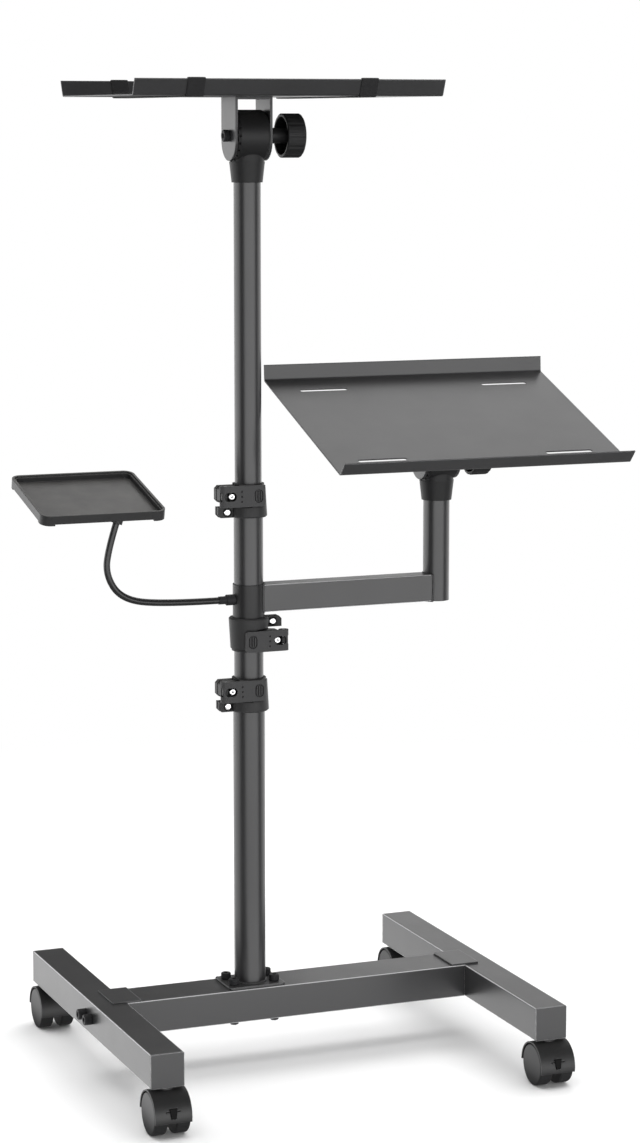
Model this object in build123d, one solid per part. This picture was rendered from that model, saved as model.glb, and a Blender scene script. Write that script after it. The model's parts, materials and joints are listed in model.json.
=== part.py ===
from build123d import *
import os
from math import cos, radians, sin, tan

# Portable projector stand: a wheeled H base, a three-stage telescopic column with lever clamps,
# a tilting projector tray on top, a side arm with a tilting laptop tray, and a small dish on a gooseneck.
# Millimetres. X runs along the crossbar, Y to the back, Z up from the floor.

# Base frame
base_width = 520.0
bar_length = 463.0
bar_size = 40.0
bar_wall = 1.5
bar_edge_radius = 1.5
cap_thickness = 2.0
cap_plug_depth = 4.0
crossbar_depth = 60.0
crossbar_end_plate = 4.0
joint_plate_length = 36.0
joint_plate_thickness = 2.0
joint_plate_on_bar = 19.0
joint_plate_setback = 1.0

# Bolts of the base
bar_bolt_spacing = 24.0
bar_bolt_head_d = 13.0
bar_bolt_head_length = 10.0
bolt_head_chamfer = 0.8
bolt_shank_d = 8.0
column_plate_length = 72.0
column_plate_depth = 55.0
column_plate_thickness = 3.0
column_plate_corner = 4.0
column_bolt_pitch_x = 52.0
column_bolt_pitch_y = 28.0
column_bolt_head_d = 12.0
column_bolt_head_height = 8.0
column_nut_d = 11.0
column_nut_height = 6.0

# Casters
caster_height = 55.0
wheel_d = 50.0
wheel_width = 16.5
wheel_edge_radius = 2.5
caster_trail = 4.5
stem_inset = 11.5
hood_gap = 1.0
hood_wall = 1.6
hood_width = 44.0
hood_front_drop = 12.0
web_thickness = 9.0
web_gap = 0.6
axle_d = 7.0
axle_boss_d = 16.0
stem_d = 10.0
stem_length = 21.5
stem_collar_d = 20.0
swivel_gap = 0.4
brake_top_width = 8.8
brake_tip_width = 5.2
brake_height = 11.0
brake_thickness = 2.2
brake_proud = 0.8
brake_slope = 12.0
brake_gap = 0.6
brake_pin_d = 1.6
brake_pin_length = 17.0
brake_pin_drop = 3.2

# Column
post_x = -54.0
tube_wall = 1.2
lower_tube_d = 38.0
middle_tube_d = 35.0
upper_tube_d = 32.0
lower_clamp_z = 433.0
middle_tube_insert = 140.0
middle_stage_rise = 234.0
upper_tube_insert = 271.0
upper_stage_rise = 448.0

# Lever clamps
clamp_height = 40.0
clamp_foot_wall = 5.0
clamp_top_wall = 4.5
clamp_chamfer = 1.5
clamp_neck_height = 3.0
clamp_neck_step = 1.5
clamp_tube_stop = 34.0
clamp_split = 2.5
band_height = 13.0
band_slit = 1.4
slit_end_x = -3.0
ear_reach = 40.0
foot_ear_thickness = 11.0
ear_front = 12.5
ear_back = 9.5
top_ear_bottom = 18.0
top_ear_top = 38.0
ear_round = 3.5
screw_x = -28.6
screw_head_d = 8.4
screw_head_height = 2.5
screw_recess_d = 11.0
screw_recess_depth = 1.5
screw_shank_d = 5.0
cam_bolt_tip = 22.5
hinge_x = -37.0
hinge_y = -19.5
hinge_pin_d = 4.0
knuckle_radius = 6.0
lug_radius = 3.6
lug_neck_width = 5.0
lug_height = 8.4
lug_gap = 0.6
lever_height = 25.2
lever_wall = 4.0
lever_reach = 12.0
lever_ring_gap = 0.6
lever_round = 3.0
window_width = 15.5
window_height = 10.7
window_x = -31.4
grip_width = 11.0
grip_height = 16.0
grip_depth = 0.8
grip_x = 4.0
grip_rib_width = 1.2
grip_rib_length = 11.2
grip_rib_pitch = 3.0
dimple_d = 2.4
dimple_depth = 0.6
dimple_pitch = 6.0
dimple_x = -17.5

# Tilt heads, one under each tray
barrel_d = 60.0
barrel_length = 39.0
barrel_round = 4.0
click_notch_count = 20
click_notch_width = 2.6
click_notch_depth = 2.2
click_notch_height = 5.0
cone_top_d = 42.0
cone_bottom_d = 36.5
cone_top = 30.0
cone_bottom = 54.0
neck_corner = 18.5
socket_depth = 24.0
ear_gap = 0.5
ear_thickness = 3.0
bracket_depth = 48.0
bracket_round_drop = 5.0
bracket_web = 3.0
pivot_to_tray = 45.0
pivot_d = 8.0
pivot_head_d = 14.0
pivot_head_height = 7.0
knob_d = 52.0
knob_length = 23.0
knob_standoff = 19.5
knob_wall = 3.0
knob_floor = 5.0
knob_edge_radius = 2.5
knob_hub_d = 18.4
knob_hub_gap = 0.4
knob_flute_count = 12
knob_flute_d = 9.0
knob_flute_depth = 1.1

# Trays of folded sheet
tray_width = 375.0
tray_depth = 262.0
tray_sheet = 1.5
tray_lip_rise = 18.5
tray_lip_lean = 23.0
tray_bend_radius = 2.5
tray_shift = 4.0
slot_length = 62.0
slot_width = 6.0
slot_side_inset = 35.0
slot_fold_inset = 33.0

# Laptop arm
arm_clamp_gap = 33.0
sleeve_rise = 40.0
arm_height = 33.0
arm_width = 26.0
arm_wall = 1.5
arm_drop = 0.7
weld_gap = 0.05
riser_offset = 245.0
laptop_pivot_rise = 161.2
laptop_tilt = 20.0

# Gooseneck and remote-control dish
neck_d = 8.0
neck_nut_d = 13.0
neck_nut_length = 10.0
neck_ferrule_d = 9.6
neck_ferrule_length = 9.0
neck_drop = 1.2
neck_level_out = 92.0
neck_elbow_out = 141.0
neck_elbow_up = 9.0
neck_side_out = 160.0
neck_side_up = 40.0
neck_rise_out = 155.0
neck_rise_up = 72.0
neck_end_out = 146.0
neck_end_up = 99.0
neck_bend_share = 0.45
dish_width = 152.0
dish_depth = 138.0
dish_height = 12.0
dish_corner = 12.0
dish_wall = 3.0
dish_floor = 2.5
dish_step = 2.0
dish_foot = 1.8
dish_foot_length = 16.0
dish_tilt = 14.0
dish_beyond_neck = 22.0
dish_behind_neck = 38.0
dish_rim_over_neck = 32.4
dish_boss_d = 14.0
dish_boss_length = 10.0

# Fits
running_fit = 0.1
slide_gap = 0.3
bolt_gap = 0.2
cut_over = 1.0
same_place = 0.01

# Heights and places that follow
bar_bottom = caster_height
bar_top = bar_bottom + bar_size
bar_middle = bar_bottom + bar_size / 2
bar_x = base_width / 2 - bar_size / 2
bar_inner = base_width / 2 - bar_size
stem_y = bar_length / 2 - stem_inset
plate_top = bar_top + column_plate_thickness
wheel_r = wheel_d / 2
hood_r = wheel_r + hood_gap
hood_outer_r = hood_r + hood_wall
lever_z = band_height + band_slit
lever_middle = lever_z + lever_height / 2
lever_face = -hinge_y + knuckle_radius
ear_inner = barrel_length / 2 + ear_gap
ear_outer = ear_inner + ear_thickness
riser_x = post_x + riser_offset
upper_clamp_z = lower_clamp_z + middle_stage_rise
tilt_pivot_z = upper_clamp_z + upper_stage_rise
arm_clamp_top = lower_clamp_z + 2 * clamp_height + arm_clamp_gap
arm_top = arm_clamp_top + sleeve_rise - arm_drop
arm_middle = arm_top - arm_height / 2
arm_bottom = arm_top - arm_height
laptop_pivot_z = arm_middle + laptop_pivot_rise
tray_reach = tray_width / 2
neck_start = post_x - lower_tube_d / 2
neck_height = arm_middle - neck_drop
dish_x = neck_start - neck_end_out - dish_beyond_neck
dish_rim_z = neck_height + neck_end_up + dish_rim_over_neck

# The row's origin is on the floor, under the middle of the outline
outline_left = dish_x - dish_width / 2
outline_right = riser_x + tray_shift + tray_reach
slope = radians(brake_slope)
brake_reach = (hood_outer_r + brake_proud) * cos(slope) + brake_height / 2 * sin(slope)
outline_front = -stem_y - caster_trail - brake_reach
outline_back = stem_y - caster_trail + hood_outer_r
origin = Pos(-(outline_left + outline_right) / 2, -(outline_front + outline_back) / 2, 0)

os.makedirs("parts", exist_ok=True)


def save(name, *solids):
    """Write one node, moved so that the row's origin is where it belongs."""
    placed = [origin * solid for solid in solids]
    shape = placed[0] if len(placed) == 1 else Compound(children=placed)
    export_step(shape, os.path.join("parts", name + ".step"))


def rod(diameter, start, end):
    """A round bar from one point to another."""
    axis = Vector(*end) - Vector(*start)
    return extrude(Plane(origin=start, z_dir=axis) * Circle(diameter / 2), axis.length)


def block(x, y, z):
    """A box given by its lower and upper limit along each axis."""
    size = (x[1] - x[0], y[1] - y[0], z[1] - z[0])
    return Pos(sum(x) / 2, sum(y) / 2, sum(z) / 2) * Box(*size)


def round_tube(diameter, bottom, top):
    ring = Circle(diameter / 2) - Circle(diameter / 2 - tube_wall)
    return Pos(0, 0, bottom) * extrude(ring, top - bottom)


def box_section(width, height, wall, radius):
    inner = Rectangle(width - 2 * wall, height - 2 * wall)
    return RectangleRounded(width, height, radius) - inner


# Base: two side bars joined by a crossbar, with a plate over each joint
def bar_bolt_places(side):
    return [(side * base_width / 2, y, bar_middle) for y in (-bar_bolt_spacing / 2, bar_bolt_spacing / 2)]


def side_bar(side):
    """A square tube along Y, bored for its two bolts and for a caster stem near each end."""
    half = bar_length / 2 - cap_thickness
    section = box_section(bar_size, bar_size, bar_wall, bar_edge_radius)
    bar = Pos(side * bar_x, 0, bar_middle) * extrude(Plane.XZ * section, half, both=True)
    for x, y, z in bar_bolt_places(side):
        outer = x + side * cut_over
        inner = x - side * (bar_size + cut_over)
        bar -= rod(bolt_shank_d + 2 * bolt_gap, (outer, y, z), (inner, y, z))
    for y in (-stem_y, stem_y):
        foot = (side * bar_x, y, bar_bottom - cut_over)
        bar -= rod(stem_d + 2 * running_fit, foot, (side * bar_x, y, bar_middle))
    return bar


def end_cap(side, end):
    """A flush cap with a plug that pushes into the open end of a side bar."""
    plug = bar_size - 2 * bar_wall - 2 * running_fit
    face = end * bar_length / 2
    inside = face - end * cap_thickness
    outline = RectangleRounded(bar_size, bar_size, bar_edge_radius)
    cap = extrude(Plane.XZ.offset(-face) * outline, end * cap_thickness)
    cap += extrude(Plane.XZ.offset(-inside) * Rectangle(plug, plug), end * cap_plug_depth)
    return Pos(side * bar_x, 0, bar_middle) * cap


def column_bolt_places():
    xs = (post_x - column_bolt_pitch_x / 2, post_x + column_bolt_pitch_x / 2)
    ys = (-column_bolt_pitch_y / 2, column_bolt_pitch_y / 2)
    return [(x, y) for x in xs for y in ys]


def crossbar():
    """A flat rectangular tube along X; its closed ends take the side bars' bolts."""
    section = box_section(crossbar_depth, bar_size, bar_wall, bar_edge_radius)
    bar = extrude(Plane.YZ * section, bar_inner, both=True)
    plug = Rectangle(crossbar_depth - 2 * bar_wall, bar_size - 2 * bar_wall)
    for side in (-1, 1):
        bar += extrude(Plane.YZ.offset(side * bar_inner) * plug, -side * crossbar_end_plate)
    bar = Pos(0, 0, bar_middle) * bar
    for side in (-1, 1):
        for x, y, z in bar_bolt_places(side):
            inner = side * (bar_inner - crossbar_end_plate - cut_over)
            bar -= rod(bolt_shank_d + 2 * bolt_gap, (x, y, z), (inner, y, z))
    for x, y in column_bolt_places():
        bar -= rod(bolt_shank_d + 2 * bolt_gap, (x, y, bar_bottom - cut_over), (x, y, bar_top + cut_over))
    return bar


def joint_plate(side):
    """A thin plate welded over the joint of the crossbar and a side bar."""
    width = crossbar_depth - 2 * joint_plate_setback
    middle = bar_inner + joint_plate_on_bar - joint_plate_length / 2
    plate = extrude(RectangleRounded(joint_plate_length, width, bar_edge_radius), joint_plate_thickness)
    return Pos(side * middle, 0, bar_top) * plate


def bar_bolts(side):
    bolts = []
    for x, y, z in bar_bolt_places(side):
        head = rod(bar_bolt_head_d, (x, y, z), (x + side * bar_bolt_head_length, y, z))
        head = chamfer(head.edges().group_by(Axis.X)[0 if side < 0 else -1], bolt_head_chamfer)
        shank_end = side * (bar_inner - crossbar_end_plate)
        bolts.append(head + rod(bolt_shank_d, (x, y, z), (shank_end, y, z)))
    return bolts


def column_plate():
    outline = RectangleRounded(column_plate_length, column_plate_depth, column_plate_corner)
    plate = Pos(post_x, 0, bar_top) * extrude(outline, column_plate_thickness)
    for x, y in column_bolt_places():
        plate -= rod(bolt_shank_d + 2 * bolt_gap, (x, y, bar_top - cut_over), (x, y, plate_top + cut_over))
    return plate


def column_bolts():
    """Four bolts with round heads over the plate and nuts below the crossbar."""
    bolts = []
    for x, y in column_bolt_places():
        head = rod(column_bolt_head_d, (x, y, plate_top), (x, y, plate_top + column_bolt_head_height))
        head = chamfer(head.edges().group_by(Axis.Z)[-1], bolt_head_chamfer)
        nut = Pos(x, y, bar_bottom - column_nut_height)
        nut = nut * extrude(RegularPolygon(column_nut_d / 2, 6), column_nut_height)
        bolts.append(head + nut + rod(bolt_shank_d, (x, y, bar_bottom), (x, y, plate_top)))
    return bolts


# Casters: a hooded fork on a stem, with a pair of wheels on one axle
def sector(radius):
    """A disc about the axle, cut away below the hood's front and rear edges."""
    far = 3 * wheel_d
    drop = far * tan(radians(hood_front_drop))
    below = make_face(Polyline((0, 0), (far, 0), (far, -far), (-far, -far), (-far, -drop), close=True))
    return Circle(radius) - below


def caster_fork(braked):
    """The hood and the web between the wheels, in one moulding with its stem."""
    hood = extrude(Plane.YZ * (sector(hood_outer_r) - Circle(hood_r)), hood_width / 2, both=True)
    web = sector(hood_r + hood_wall / 2) + Circle(axle_boss_d / 2)
    fork = hood + extrude(Plane.YZ * web, web_thickness / 2, both=True)
    fork -= rod(axle_d + 2 * running_fit, (-web_thickness, 0, 0), (web_thickness, 0, 0))
    if braked:
        fork -= brake_slot()
    fork = Pos(0, -caster_trail, wheel_r) * fork
    collar_bottom = wheel_r + hood_r + hood_wall / 4
    fork += rod(stem_collar_d, (0, 0, collar_bottom), (0, 0, bar_bottom - swivel_gap))
    return fork + rod(stem_d, (0, 0, collar_bottom), (0, 0, bar_bottom + stem_length))


def caster_wheels():
    """Two wheels on their axle, clear of the web and the hood."""
    inner = web_thickness / 2 + web_gap
    wheel = rod(wheel_d, (inner, 0, 0), (inner + wheel_width, 0, 0))
    wheel = fillet(wheel.edges(), wheel_edge_radius)
    pair = wheel + mirror(wheel, Plane.YZ) + rod(axle_d, (-inner - cut_over, 0, 0), (inner + cut_over, 0, 0))
    return Pos(0, -caster_trail, wheel_r) * pair


brake_frame = Rot(-brake_slope, 0, 0) * Pos(0, -hood_outer_r - brake_proud, 0)


def brake_outline(gap):
    """The tab of a brake lever seen from the front, wider at its hinge than at its tip."""
    half = brake_height / 2 + gap
    top = brake_top_width / 2 + gap
    tip = brake_tip_width / 2 + gap
    return make_face(Polyline((-top, half), (top, half), (tip, -half), (-tip, -half), close=True))


def brake_pin(diameter, length):
    """The lever's hinge line, level with the two arms of the slot in the hood."""
    y = brake_proud + hood_wall / 2
    z = brake_height / 2 - brake_pin_drop
    return rod(diameter, (-length / 2, y, z), (length / 2, y, z))


def brake_slot():
    """A T-shaped window through the hood, with room in the web for the tab to swing in."""
    depth = brake_proud + hood_wall + brake_thickness + 2 * brake_gap
    window = extrude(Plane.XZ.offset(brake_proud) * brake_outline(brake_gap), -depth - brake_proud)
    return brake_frame * (window + brake_pin(brake_pin_d + 2 * running_fit, brake_pin_length + 2 * brake_gap))


def brake_lever():
    tab = extrude(Plane.XZ * brake_outline(0), -brake_thickness)
    lever = brake_frame * (tab + brake_pin(brake_pin_d, brake_pin_length))
    return Pos(0, -caster_trail, wheel_r) * lever


# Lever clamps, in a frame with the lower end at Z = 0 and the ears towards -X
def clamp_collar(foot_d, top_d):
    """A tapered collar: a fixed band on the outer tube, a split band that the lever closes on the inner."""
    foot_r = foot_d / 2 + clamp_foot_wall
    top_r = top_d / 2 + clamp_top_wall
    shoulder = clamp_height - clamp_neck_height
    profile = make_face(Polyline(
        (0, 0),
        (foot_r - clamp_chamfer, 0),
        (foot_r, clamp_chamfer),
        (top_r, shoulder),
        (top_r - clamp_neck_step, shoulder),
        (top_r - clamp_neck_step, clamp_height),
        (0, clamp_height),
        close=True,
    ))
    collar = revolve(Plane.XZ * profile, Axis.Z)
    foot_ear = make_face(Polyline(
        (0, 0),
        (-ear_reach + ear_round, 0),
        (-ear_reach, ear_round),
        (-ear_reach, band_height),
        (0, band_height),
        close=True,
    ))
    top_ear = make_face(Polyline(
        (0, lever_z),
        (-ear_reach + ear_round, top_ear_bottom),
        (-ear_reach, top_ear_bottom + ear_round),
        (-ear_reach, top_ear_top - ear_round),
        (-ear_reach + ear_round, top_ear_top),
        (0, top_ear_top),
        close=True,
    ))
    collar += extrude(Plane.XZ * foot_ear, foot_ear_thickness / 2, both=True)
    collar += extrude(Plane.XZ.offset(-ear_back) * top_ear, ear_front + ear_back)
    collar += hinge_lug()
    collar -= block((-2 * ear_reach, slit_end_x), (-ear_reach, ear_reach), (band_height, lever_z))
    split = (-clamp_split / 2, clamp_split / 2)
    collar -= block((-2 * ear_reach, 0), split, (-cut_over, clamp_height + cut_over))
    collar -= Pos(0, 0, -cut_over) * extrude(Circle(foot_d / 2 + running_fit), clamp_tube_stop + cut_over)
    collar -= extrude(Circle(top_d / 2 + slide_gap), clamp_height + cut_over)
    hole_d = screw_shank_d + 2 * running_fit
    for z in (band_height / 2, lever_middle):
        collar -= rod(hole_d, (screw_x, -ear_reach, z), (screw_x, ear_reach, z))
    seat = -foot_ear_thickness / 2 + screw_recess_depth
    collar -= rod(screw_recess_d, (screw_x, -ear_front, band_height / 2), (screw_x, seat, band_height / 2))
    return collar


def hinge_lug():
    """The eye on the front of the ears that carries the lever's pin."""
    low = lever_middle - lug_height / 2
    neck = -ear_front - hinge_y + cut_over
    eye = Circle(lug_radius) + Pos(0, neck / 2) * Rectangle(lug_neck_width, neck)
    eye -= Circle(hinge_pin_d / 2 + running_fit)
    return Pos(hinge_x, hinge_y, low) * extrude(eye, lug_height)


def clamp_screws():
    """The screw of the fixed band, the bolt that the lever draws, and the lever's hinge pin."""
    low = band_height / 2
    seat = -foot_ear_thickness / 2 + screw_recess_depth
    fixed = rod(screw_head_d, (screw_x, seat - screw_head_height, low), (screw_x, seat, low))
    fixed += rod(screw_shank_d, (screw_x, seat, low), (screw_x, foot_ear_thickness / 2, low))
    bolt = rod(screw_head_d, (screw_x, -cam_bolt_tip, lever_middle), (screw_x, -ear_front, lever_middle))
    bolt += rod(screw_shank_d, (screw_x, -ear_front, lever_middle), (screw_x, ear_back, lever_middle))
    nut_end = ear_back + screw_head_height
    bolt += rod(screw_head_d, (screw_x, ear_back, lever_middle), (screw_x, nut_end, lever_middle))
    pin_low = lever_middle - lever_height / 2
    pin = rod(hinge_pin_d, (hinge_x, hinge_y, pin_low), (hinge_x, hinge_y, pin_low + lever_height))
    return [fixed, bolt, pin]


def clamp_lever(foot_d, top_d):
    """The quick-release lever: a hinged plate hollowed to fit the collar, with a window and a thumb grip."""
    ring_r = foot_d / 2 + clamp_foot_wall
    taper = (top_d / 2 + clamp_top_wall - ring_r) / (clamp_height - clamp_neck_height - clamp_chamfer)
    plan = make_face(Polyline(
        (hinge_x, -lever_face),
        (lever_reach, -lever_face),
        (lever_reach, -lever_face + 2 * lever_wall),
        (hinge_x / 2, -lever_face + 2 * lever_wall),
        (hinge_x / 2, -lever_face + lever_wall),
        (hinge_x, -lever_face + lever_wall),
        close=True,
    ))
    plan += Pos(hinge_x, hinge_y) * Circle(knuckle_radius)
    lever = Pos(0, 0, lever_z) * extrude(plan, lever_height)
    free_end = lever.edges().filter_by(Axis.Y).group_by(Axis.X)[-1]
    lever = fillet(free_end, lever_round)
    clear_foot = ring_r + lever_ring_gap
    clear_top = clear_foot + taper * clamp_height
    lever -= Pos(0, 0, clamp_height / 2) * Cone(clear_foot, clear_top, clamp_height)
    pin_top = clamp_height + lever_z
    lever -= rod(hinge_pin_d + 2 * running_fit, (hinge_x, hinge_y, 0), (hinge_x, hinge_y, pin_top))
    front = Plane.XZ.offset(lever_face)
    window = front * Pos(window_x, lever_middle) * SlotOverall(window_width, window_height)
    lever -= extrude(window, -2 * lever_wall)
    cap_back = hinge_y - lug_radius - lug_gap
    window_right = window_x + window_width / 2
    lever -= block((hinge_x - ear_reach, window_right), (cap_back, 0),
                   (lever_middle - window_height / 2, lever_middle + window_height / 2))
    return lever - lever_marks(front)


def lever_marks(front):
    """Three dimples in a column, and an oval thumb recess with upright ribs left standing in it."""
    oval = Pos(grip_x, lever_middle) * Rot(0, 0, 90) * SlotOverall(grip_height, grip_width)
    for step in (-1, 0, 1):
        oval -= Pos(grip_x + step * grip_rib_pitch, lever_middle) * Rectangle(grip_rib_width, grip_rib_length)
    marks = extrude(front * oval, -grip_depth)
    for step in (-1, 0, 1):
        z = lever_middle + step * dimple_pitch
        marks += rod(dimple_d, (dimple_x, -lever_face, z), (dimple_x, -lever_face + dimple_depth, z))
    return marks


# Tilt heads, in a frame with the pivot at the origin
def tilt_head(tube_d):
    """A round barrel across the pivot with a tapered socket for the tube below it."""
    barrel = extrude(Plane.YZ * Circle(barrel_d / 2), barrel_length / 2, both=True)
    barrel = fillet(barrel.edges(), barrel_round)
    cone_length = cone_bottom - cone_top
    cone = Pos(0, 0, -cone_top - cone_length / 2) * Cone(cone_bottom_d / 2, cone_top_d / 2, cone_length)
    neck = extrude(RectangleRounded(barrel_length, cone_top_d, neck_corner), cone_top)
    head = barrel + cone + Pos(0, 0, -cone_top) * neck
    socket_end = socket_depth - cone_bottom
    head -= rod(tube_d + 2 * running_fit, (0, 0, -cone_bottom - cut_over), (0, 0, socket_end))
    head -= rod(pivot_d + 2 * running_fit, (-barrel_length, 0, 0), (barrel_length, 0, 0))
    face = -barrel_length / 2
    notch_floor = barrel_d / 2 - click_notch_height
    for step in range(click_notch_count):
        turn = 360 * step / click_notch_count
        notch = block((face - cut_over, face + click_notch_depth), (notch_floor, barrel_d / 2),
                      (-click_notch_width / 2, click_notch_width / 2))
        head -= Rot(turn, 0, 0) * notch
    return head


def tray_bracket():
    """A bent strip under the tray: a web and two round-ended ears."""
    half = bracket_depth / 2
    ear = Pos(0, -bracket_round_drop) * Circle(half)
    flat = pivot_to_tray + bracket_round_drop
    ear += Pos(0, flat / 2 - bracket_round_drop) * Rectangle(bracket_depth, flat)
    ear -= Circle(pivot_d / 2 + running_fit)
    bracket = block((-ear_outer, ear_outer), (-half, half), (pivot_to_tray - bracket_web, pivot_to_tray))
    for side in (-1, 1):
        bracket += extrude(Plane.YZ.offset(side * ear_inner) * ear, side * ear_thickness)
    return bracket


def pivot_bolt():
    """The bolt through the ears and the barrel, with its head on the left ear."""
    bolt = rod(pivot_head_d, (-ear_outer - pivot_head_height, 0, 0), (-ear_outer, 0, 0))
    bolt = chamfer(bolt.edges().group_by(Axis.X)[0], bolt_head_chamfer)
    return bolt + rod(pivot_d, (-ear_outer, 0, 0), (ear_outer + knob_standoff, 0, 0))


def tilt_knob():
    """A cup-shaped knob, open towards the ear, with a hub in the cup and flutes round the grip."""
    rim = ear_outer + knob_standoff
    end = rim + knob_length
    cup = rod(knob_d, (rim, 0, 0), (end, 0, 0))
    cup = fillet(cup.edges().group_by(Axis.X)[-1], knob_edge_radius)
    for step in range(knob_flute_count):
        turn = 360 * step / knob_flute_count
        centre = (knob_d + knob_flute_d) / 2 - knob_flute_depth
        cup -= Rot(turn, 0, 0) * rod(knob_flute_d, (rim - cut_over, centre, 0), (end + cut_over, centre, 0))
    cup_d = knob_d - 2 * knob_wall - 2 * knob_flute_depth
    cup -= rod(cup_d, (rim - cut_over, 0, 0), (end - knob_floor, 0, 0))
    cup += rod(knob_hub_d, (ear_outer + knob_hub_gap, 0, 0), (end - knob_floor, 0, 0))
    return cup - rod(pivot_d + 2 * running_fit, (0, 0, 0), (rim + running_fit, 0, 0))


def sheet_tray():
    """A folded sheet with a lip along its front and back edges, and four strap slots."""
    half = tray_depth / 2
    lean = radians(tray_lip_lean)
    out = tray_lip_rise * tan(lean)
    skin_y = tray_sheet * cos(lean)
    skin_z = tray_sheet * sin(lean)
    inner = half - tray_sheet * (1 / cos(lean) - tan(lean))
    profile = make_face(Polyline(
        (-half, 0),
        (half, 0),
        (half + out, tray_lip_rise),
        (half + out - skin_y, tray_lip_rise + skin_z),
        (inner, tray_sheet),
        (-inner, tray_sheet),
        (-half - out + skin_y, tray_lip_rise + skin_z),
        (-half - out, tray_lip_rise),
        close=True,
    ))
    tray = extrude(Plane.YZ * profile, tray_reach, both=True)
    bends = [edge for edge in tray.edges().filter_by(Axis.X) if edge.center().Z < tray_sheet + same_place]
    tray = fillet([edge for edge in bends if edge.center().Z > tray_sheet / 2], tray_bend_radius)
    outer = [edge for edge in tray.edges().filter_by(Axis.X) if abs(edge.center().Z) < same_place]
    tray = fillet(outer, tray_bend_radius + tray_sheet)
    slot_x = tray_reach - slot_side_inset - slot_length / 2
    slot_y = half - slot_fold_inset
    for x in (-slot_x, slot_x):
        for y in (-slot_y, slot_y):
            slot = extrude(SlotOverall(slot_length, slot_width), tray_sheet + 2 * cut_over)
            tray -= Pos(x, y, -cut_over) * slot
    return Pos(tray_shift, 0, pivot_to_tray) * tray


# Laptop arm: a sleeve on the middle tube, a box arm and a riser
def arm_sleeve():
    bottom = arm_clamp_top - clamp_tube_stop
    return Pos(post_x, 0, 0) * round_tube(lower_tube_d, bottom, arm_clamp_top + sleeve_rise)


def laptop_arm():
    """A rectangular tube, cut at both ends to lie against the round tubes it is welded to."""
    section = box_section(arm_width, arm_height, arm_wall, bar_edge_radius)
    arm = Pos(post_x, 0, arm_middle) * extrude(Plane.YZ * section, riser_offset)
    low = arm_bottom - cut_over
    high = arm_top + cut_over
    arm -= rod(lower_tube_d + 2 * weld_gap, (post_x, 0, low), (post_x, 0, high))
    return arm - rod(upper_tube_d + 2 * weld_gap, (riser_x, 0, low), (riser_x, 0, high))


def laptop_riser():
    top = laptop_pivot_z - cone_bottom + socket_depth
    return Pos(riser_x, 0, 0) * round_tube(upper_tube_d, arm_bottom, top)


# Gooseneck: a bent tube from a nut on the sleeve to a boss under the dish
neck_route = [
    (neck_start - neck_nut_length - neck_ferrule_length, neck_height),
    (neck_start - neck_level_out, neck_height),
    (neck_start - neck_elbow_out, neck_height + neck_elbow_up),
    (neck_start - neck_side_out, neck_height + neck_side_up),
    (neck_start - neck_rise_out, neck_height + neck_rise_up),
    (neck_start - neck_end_out, neck_height + neck_end_up),
]


def corner_radii(route):
    """The largest even bend at each corner of the route."""
    radii = []
    for before, here, after in zip(route, route[1:], route[2:]):
        into = Vector(here[0] - before[0], here[1] - before[1])
        out = Vector(after[0] - here[0], after[1] - here[1])
        turn = radians(into.get_angle(out))
        radii.append(neck_bend_share * min(into.length, out.length) / tan(turn / 2))
    return radii


def gooseneck():
    radii = corner_radii(neck_route)
    path = FilletPolyline(*neck_route, radius=radii)
    path = Plane.XZ * path
    section = Plane(origin=path @ 0, z_dir=path % 0) * Circle(neck_d / 2)
    return sweep(section, path=path)


def neck_socket():
    """The nut on the sleeve and the ferrule that the gooseneck comes out of."""
    nut_end = neck_start - neck_nut_length
    nut = rod(neck_nut_d, (neck_start + cut_over, 0, neck_height), (nut_end, 0, neck_height))
    nut = chamfer(nut.edges().group_by(Axis.X)[0], bolt_head_chamfer)
    nut += rod(neck_ferrule_d, (nut_end, 0, neck_height), (nut_end - neck_ferrule_length, 0, neck_height))
    low = neck_height - neck_nut_d
    return nut - rod(lower_tube_d + 2 * weld_gap, (post_x, 0, low), (post_x, 0, low + 2 * neck_nut_d))


dish_frame = Pos(dish_x, dish_behind_neck, dish_rim_z) * Rot(dish_tilt, 0, 0)


def remote_dish():
    """A shallow moulded dish with a stepped rim, standing on its corners, and a boss for the gooseneck."""
    outer = RectangleRounded(dish_width, dish_depth, dish_corner)
    dish = Pos(0, 0, -dish_height) * extrude(outer, dish_height)
    step = RectangleRounded(dish_width - 2 * dish_wall, dish_depth - 2 * dish_wall, dish_corner - dish_wall)
    well_inset = dish_wall + dish_step
    well_width = dish_width - 2 * well_inset
    well_depth = dish_depth - 2 * well_inset
    well = RectangleRounded(well_width, well_depth, dish_corner - well_inset)
    floor_top = -dish_height + dish_foot + dish_floor
    dish -= Pos(0, 0, -dish_step) * extrude(step, dish_step + cut_over)
    dish -= Pos(0, 0, floor_top) * extrude(well, dish_height)
    span_x = dish_width - 2 * dish_foot_length
    span_y = dish_depth - 2 * dish_foot_length
    arches = Box(span_x, 2 * dish_depth, 2 * dish_foot) + Box(2 * dish_width, span_y, 2 * dish_foot)
    dish -= Pos(0, 0, -dish_height) * arches
    dish = dish_frame * dish
    (x0, z0), (x1, z1) = neck_route[-2:]
    rise = Vector(x1 - x0, 0, z1 - z0).normalized()
    end = Vector(x1, 0, z1)
    boss = rod(dish_boss_d, tuple(end), tuple(end + rise * (dish_boss_length + dish_height)))
    boss_top = floor_top - dish_floor / 2
    above = dish_frame * block((-dish_width, dish_width), (-dish_depth, dish_depth), (boss_top, dish_width))
    return dish + (boss - above)


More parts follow.
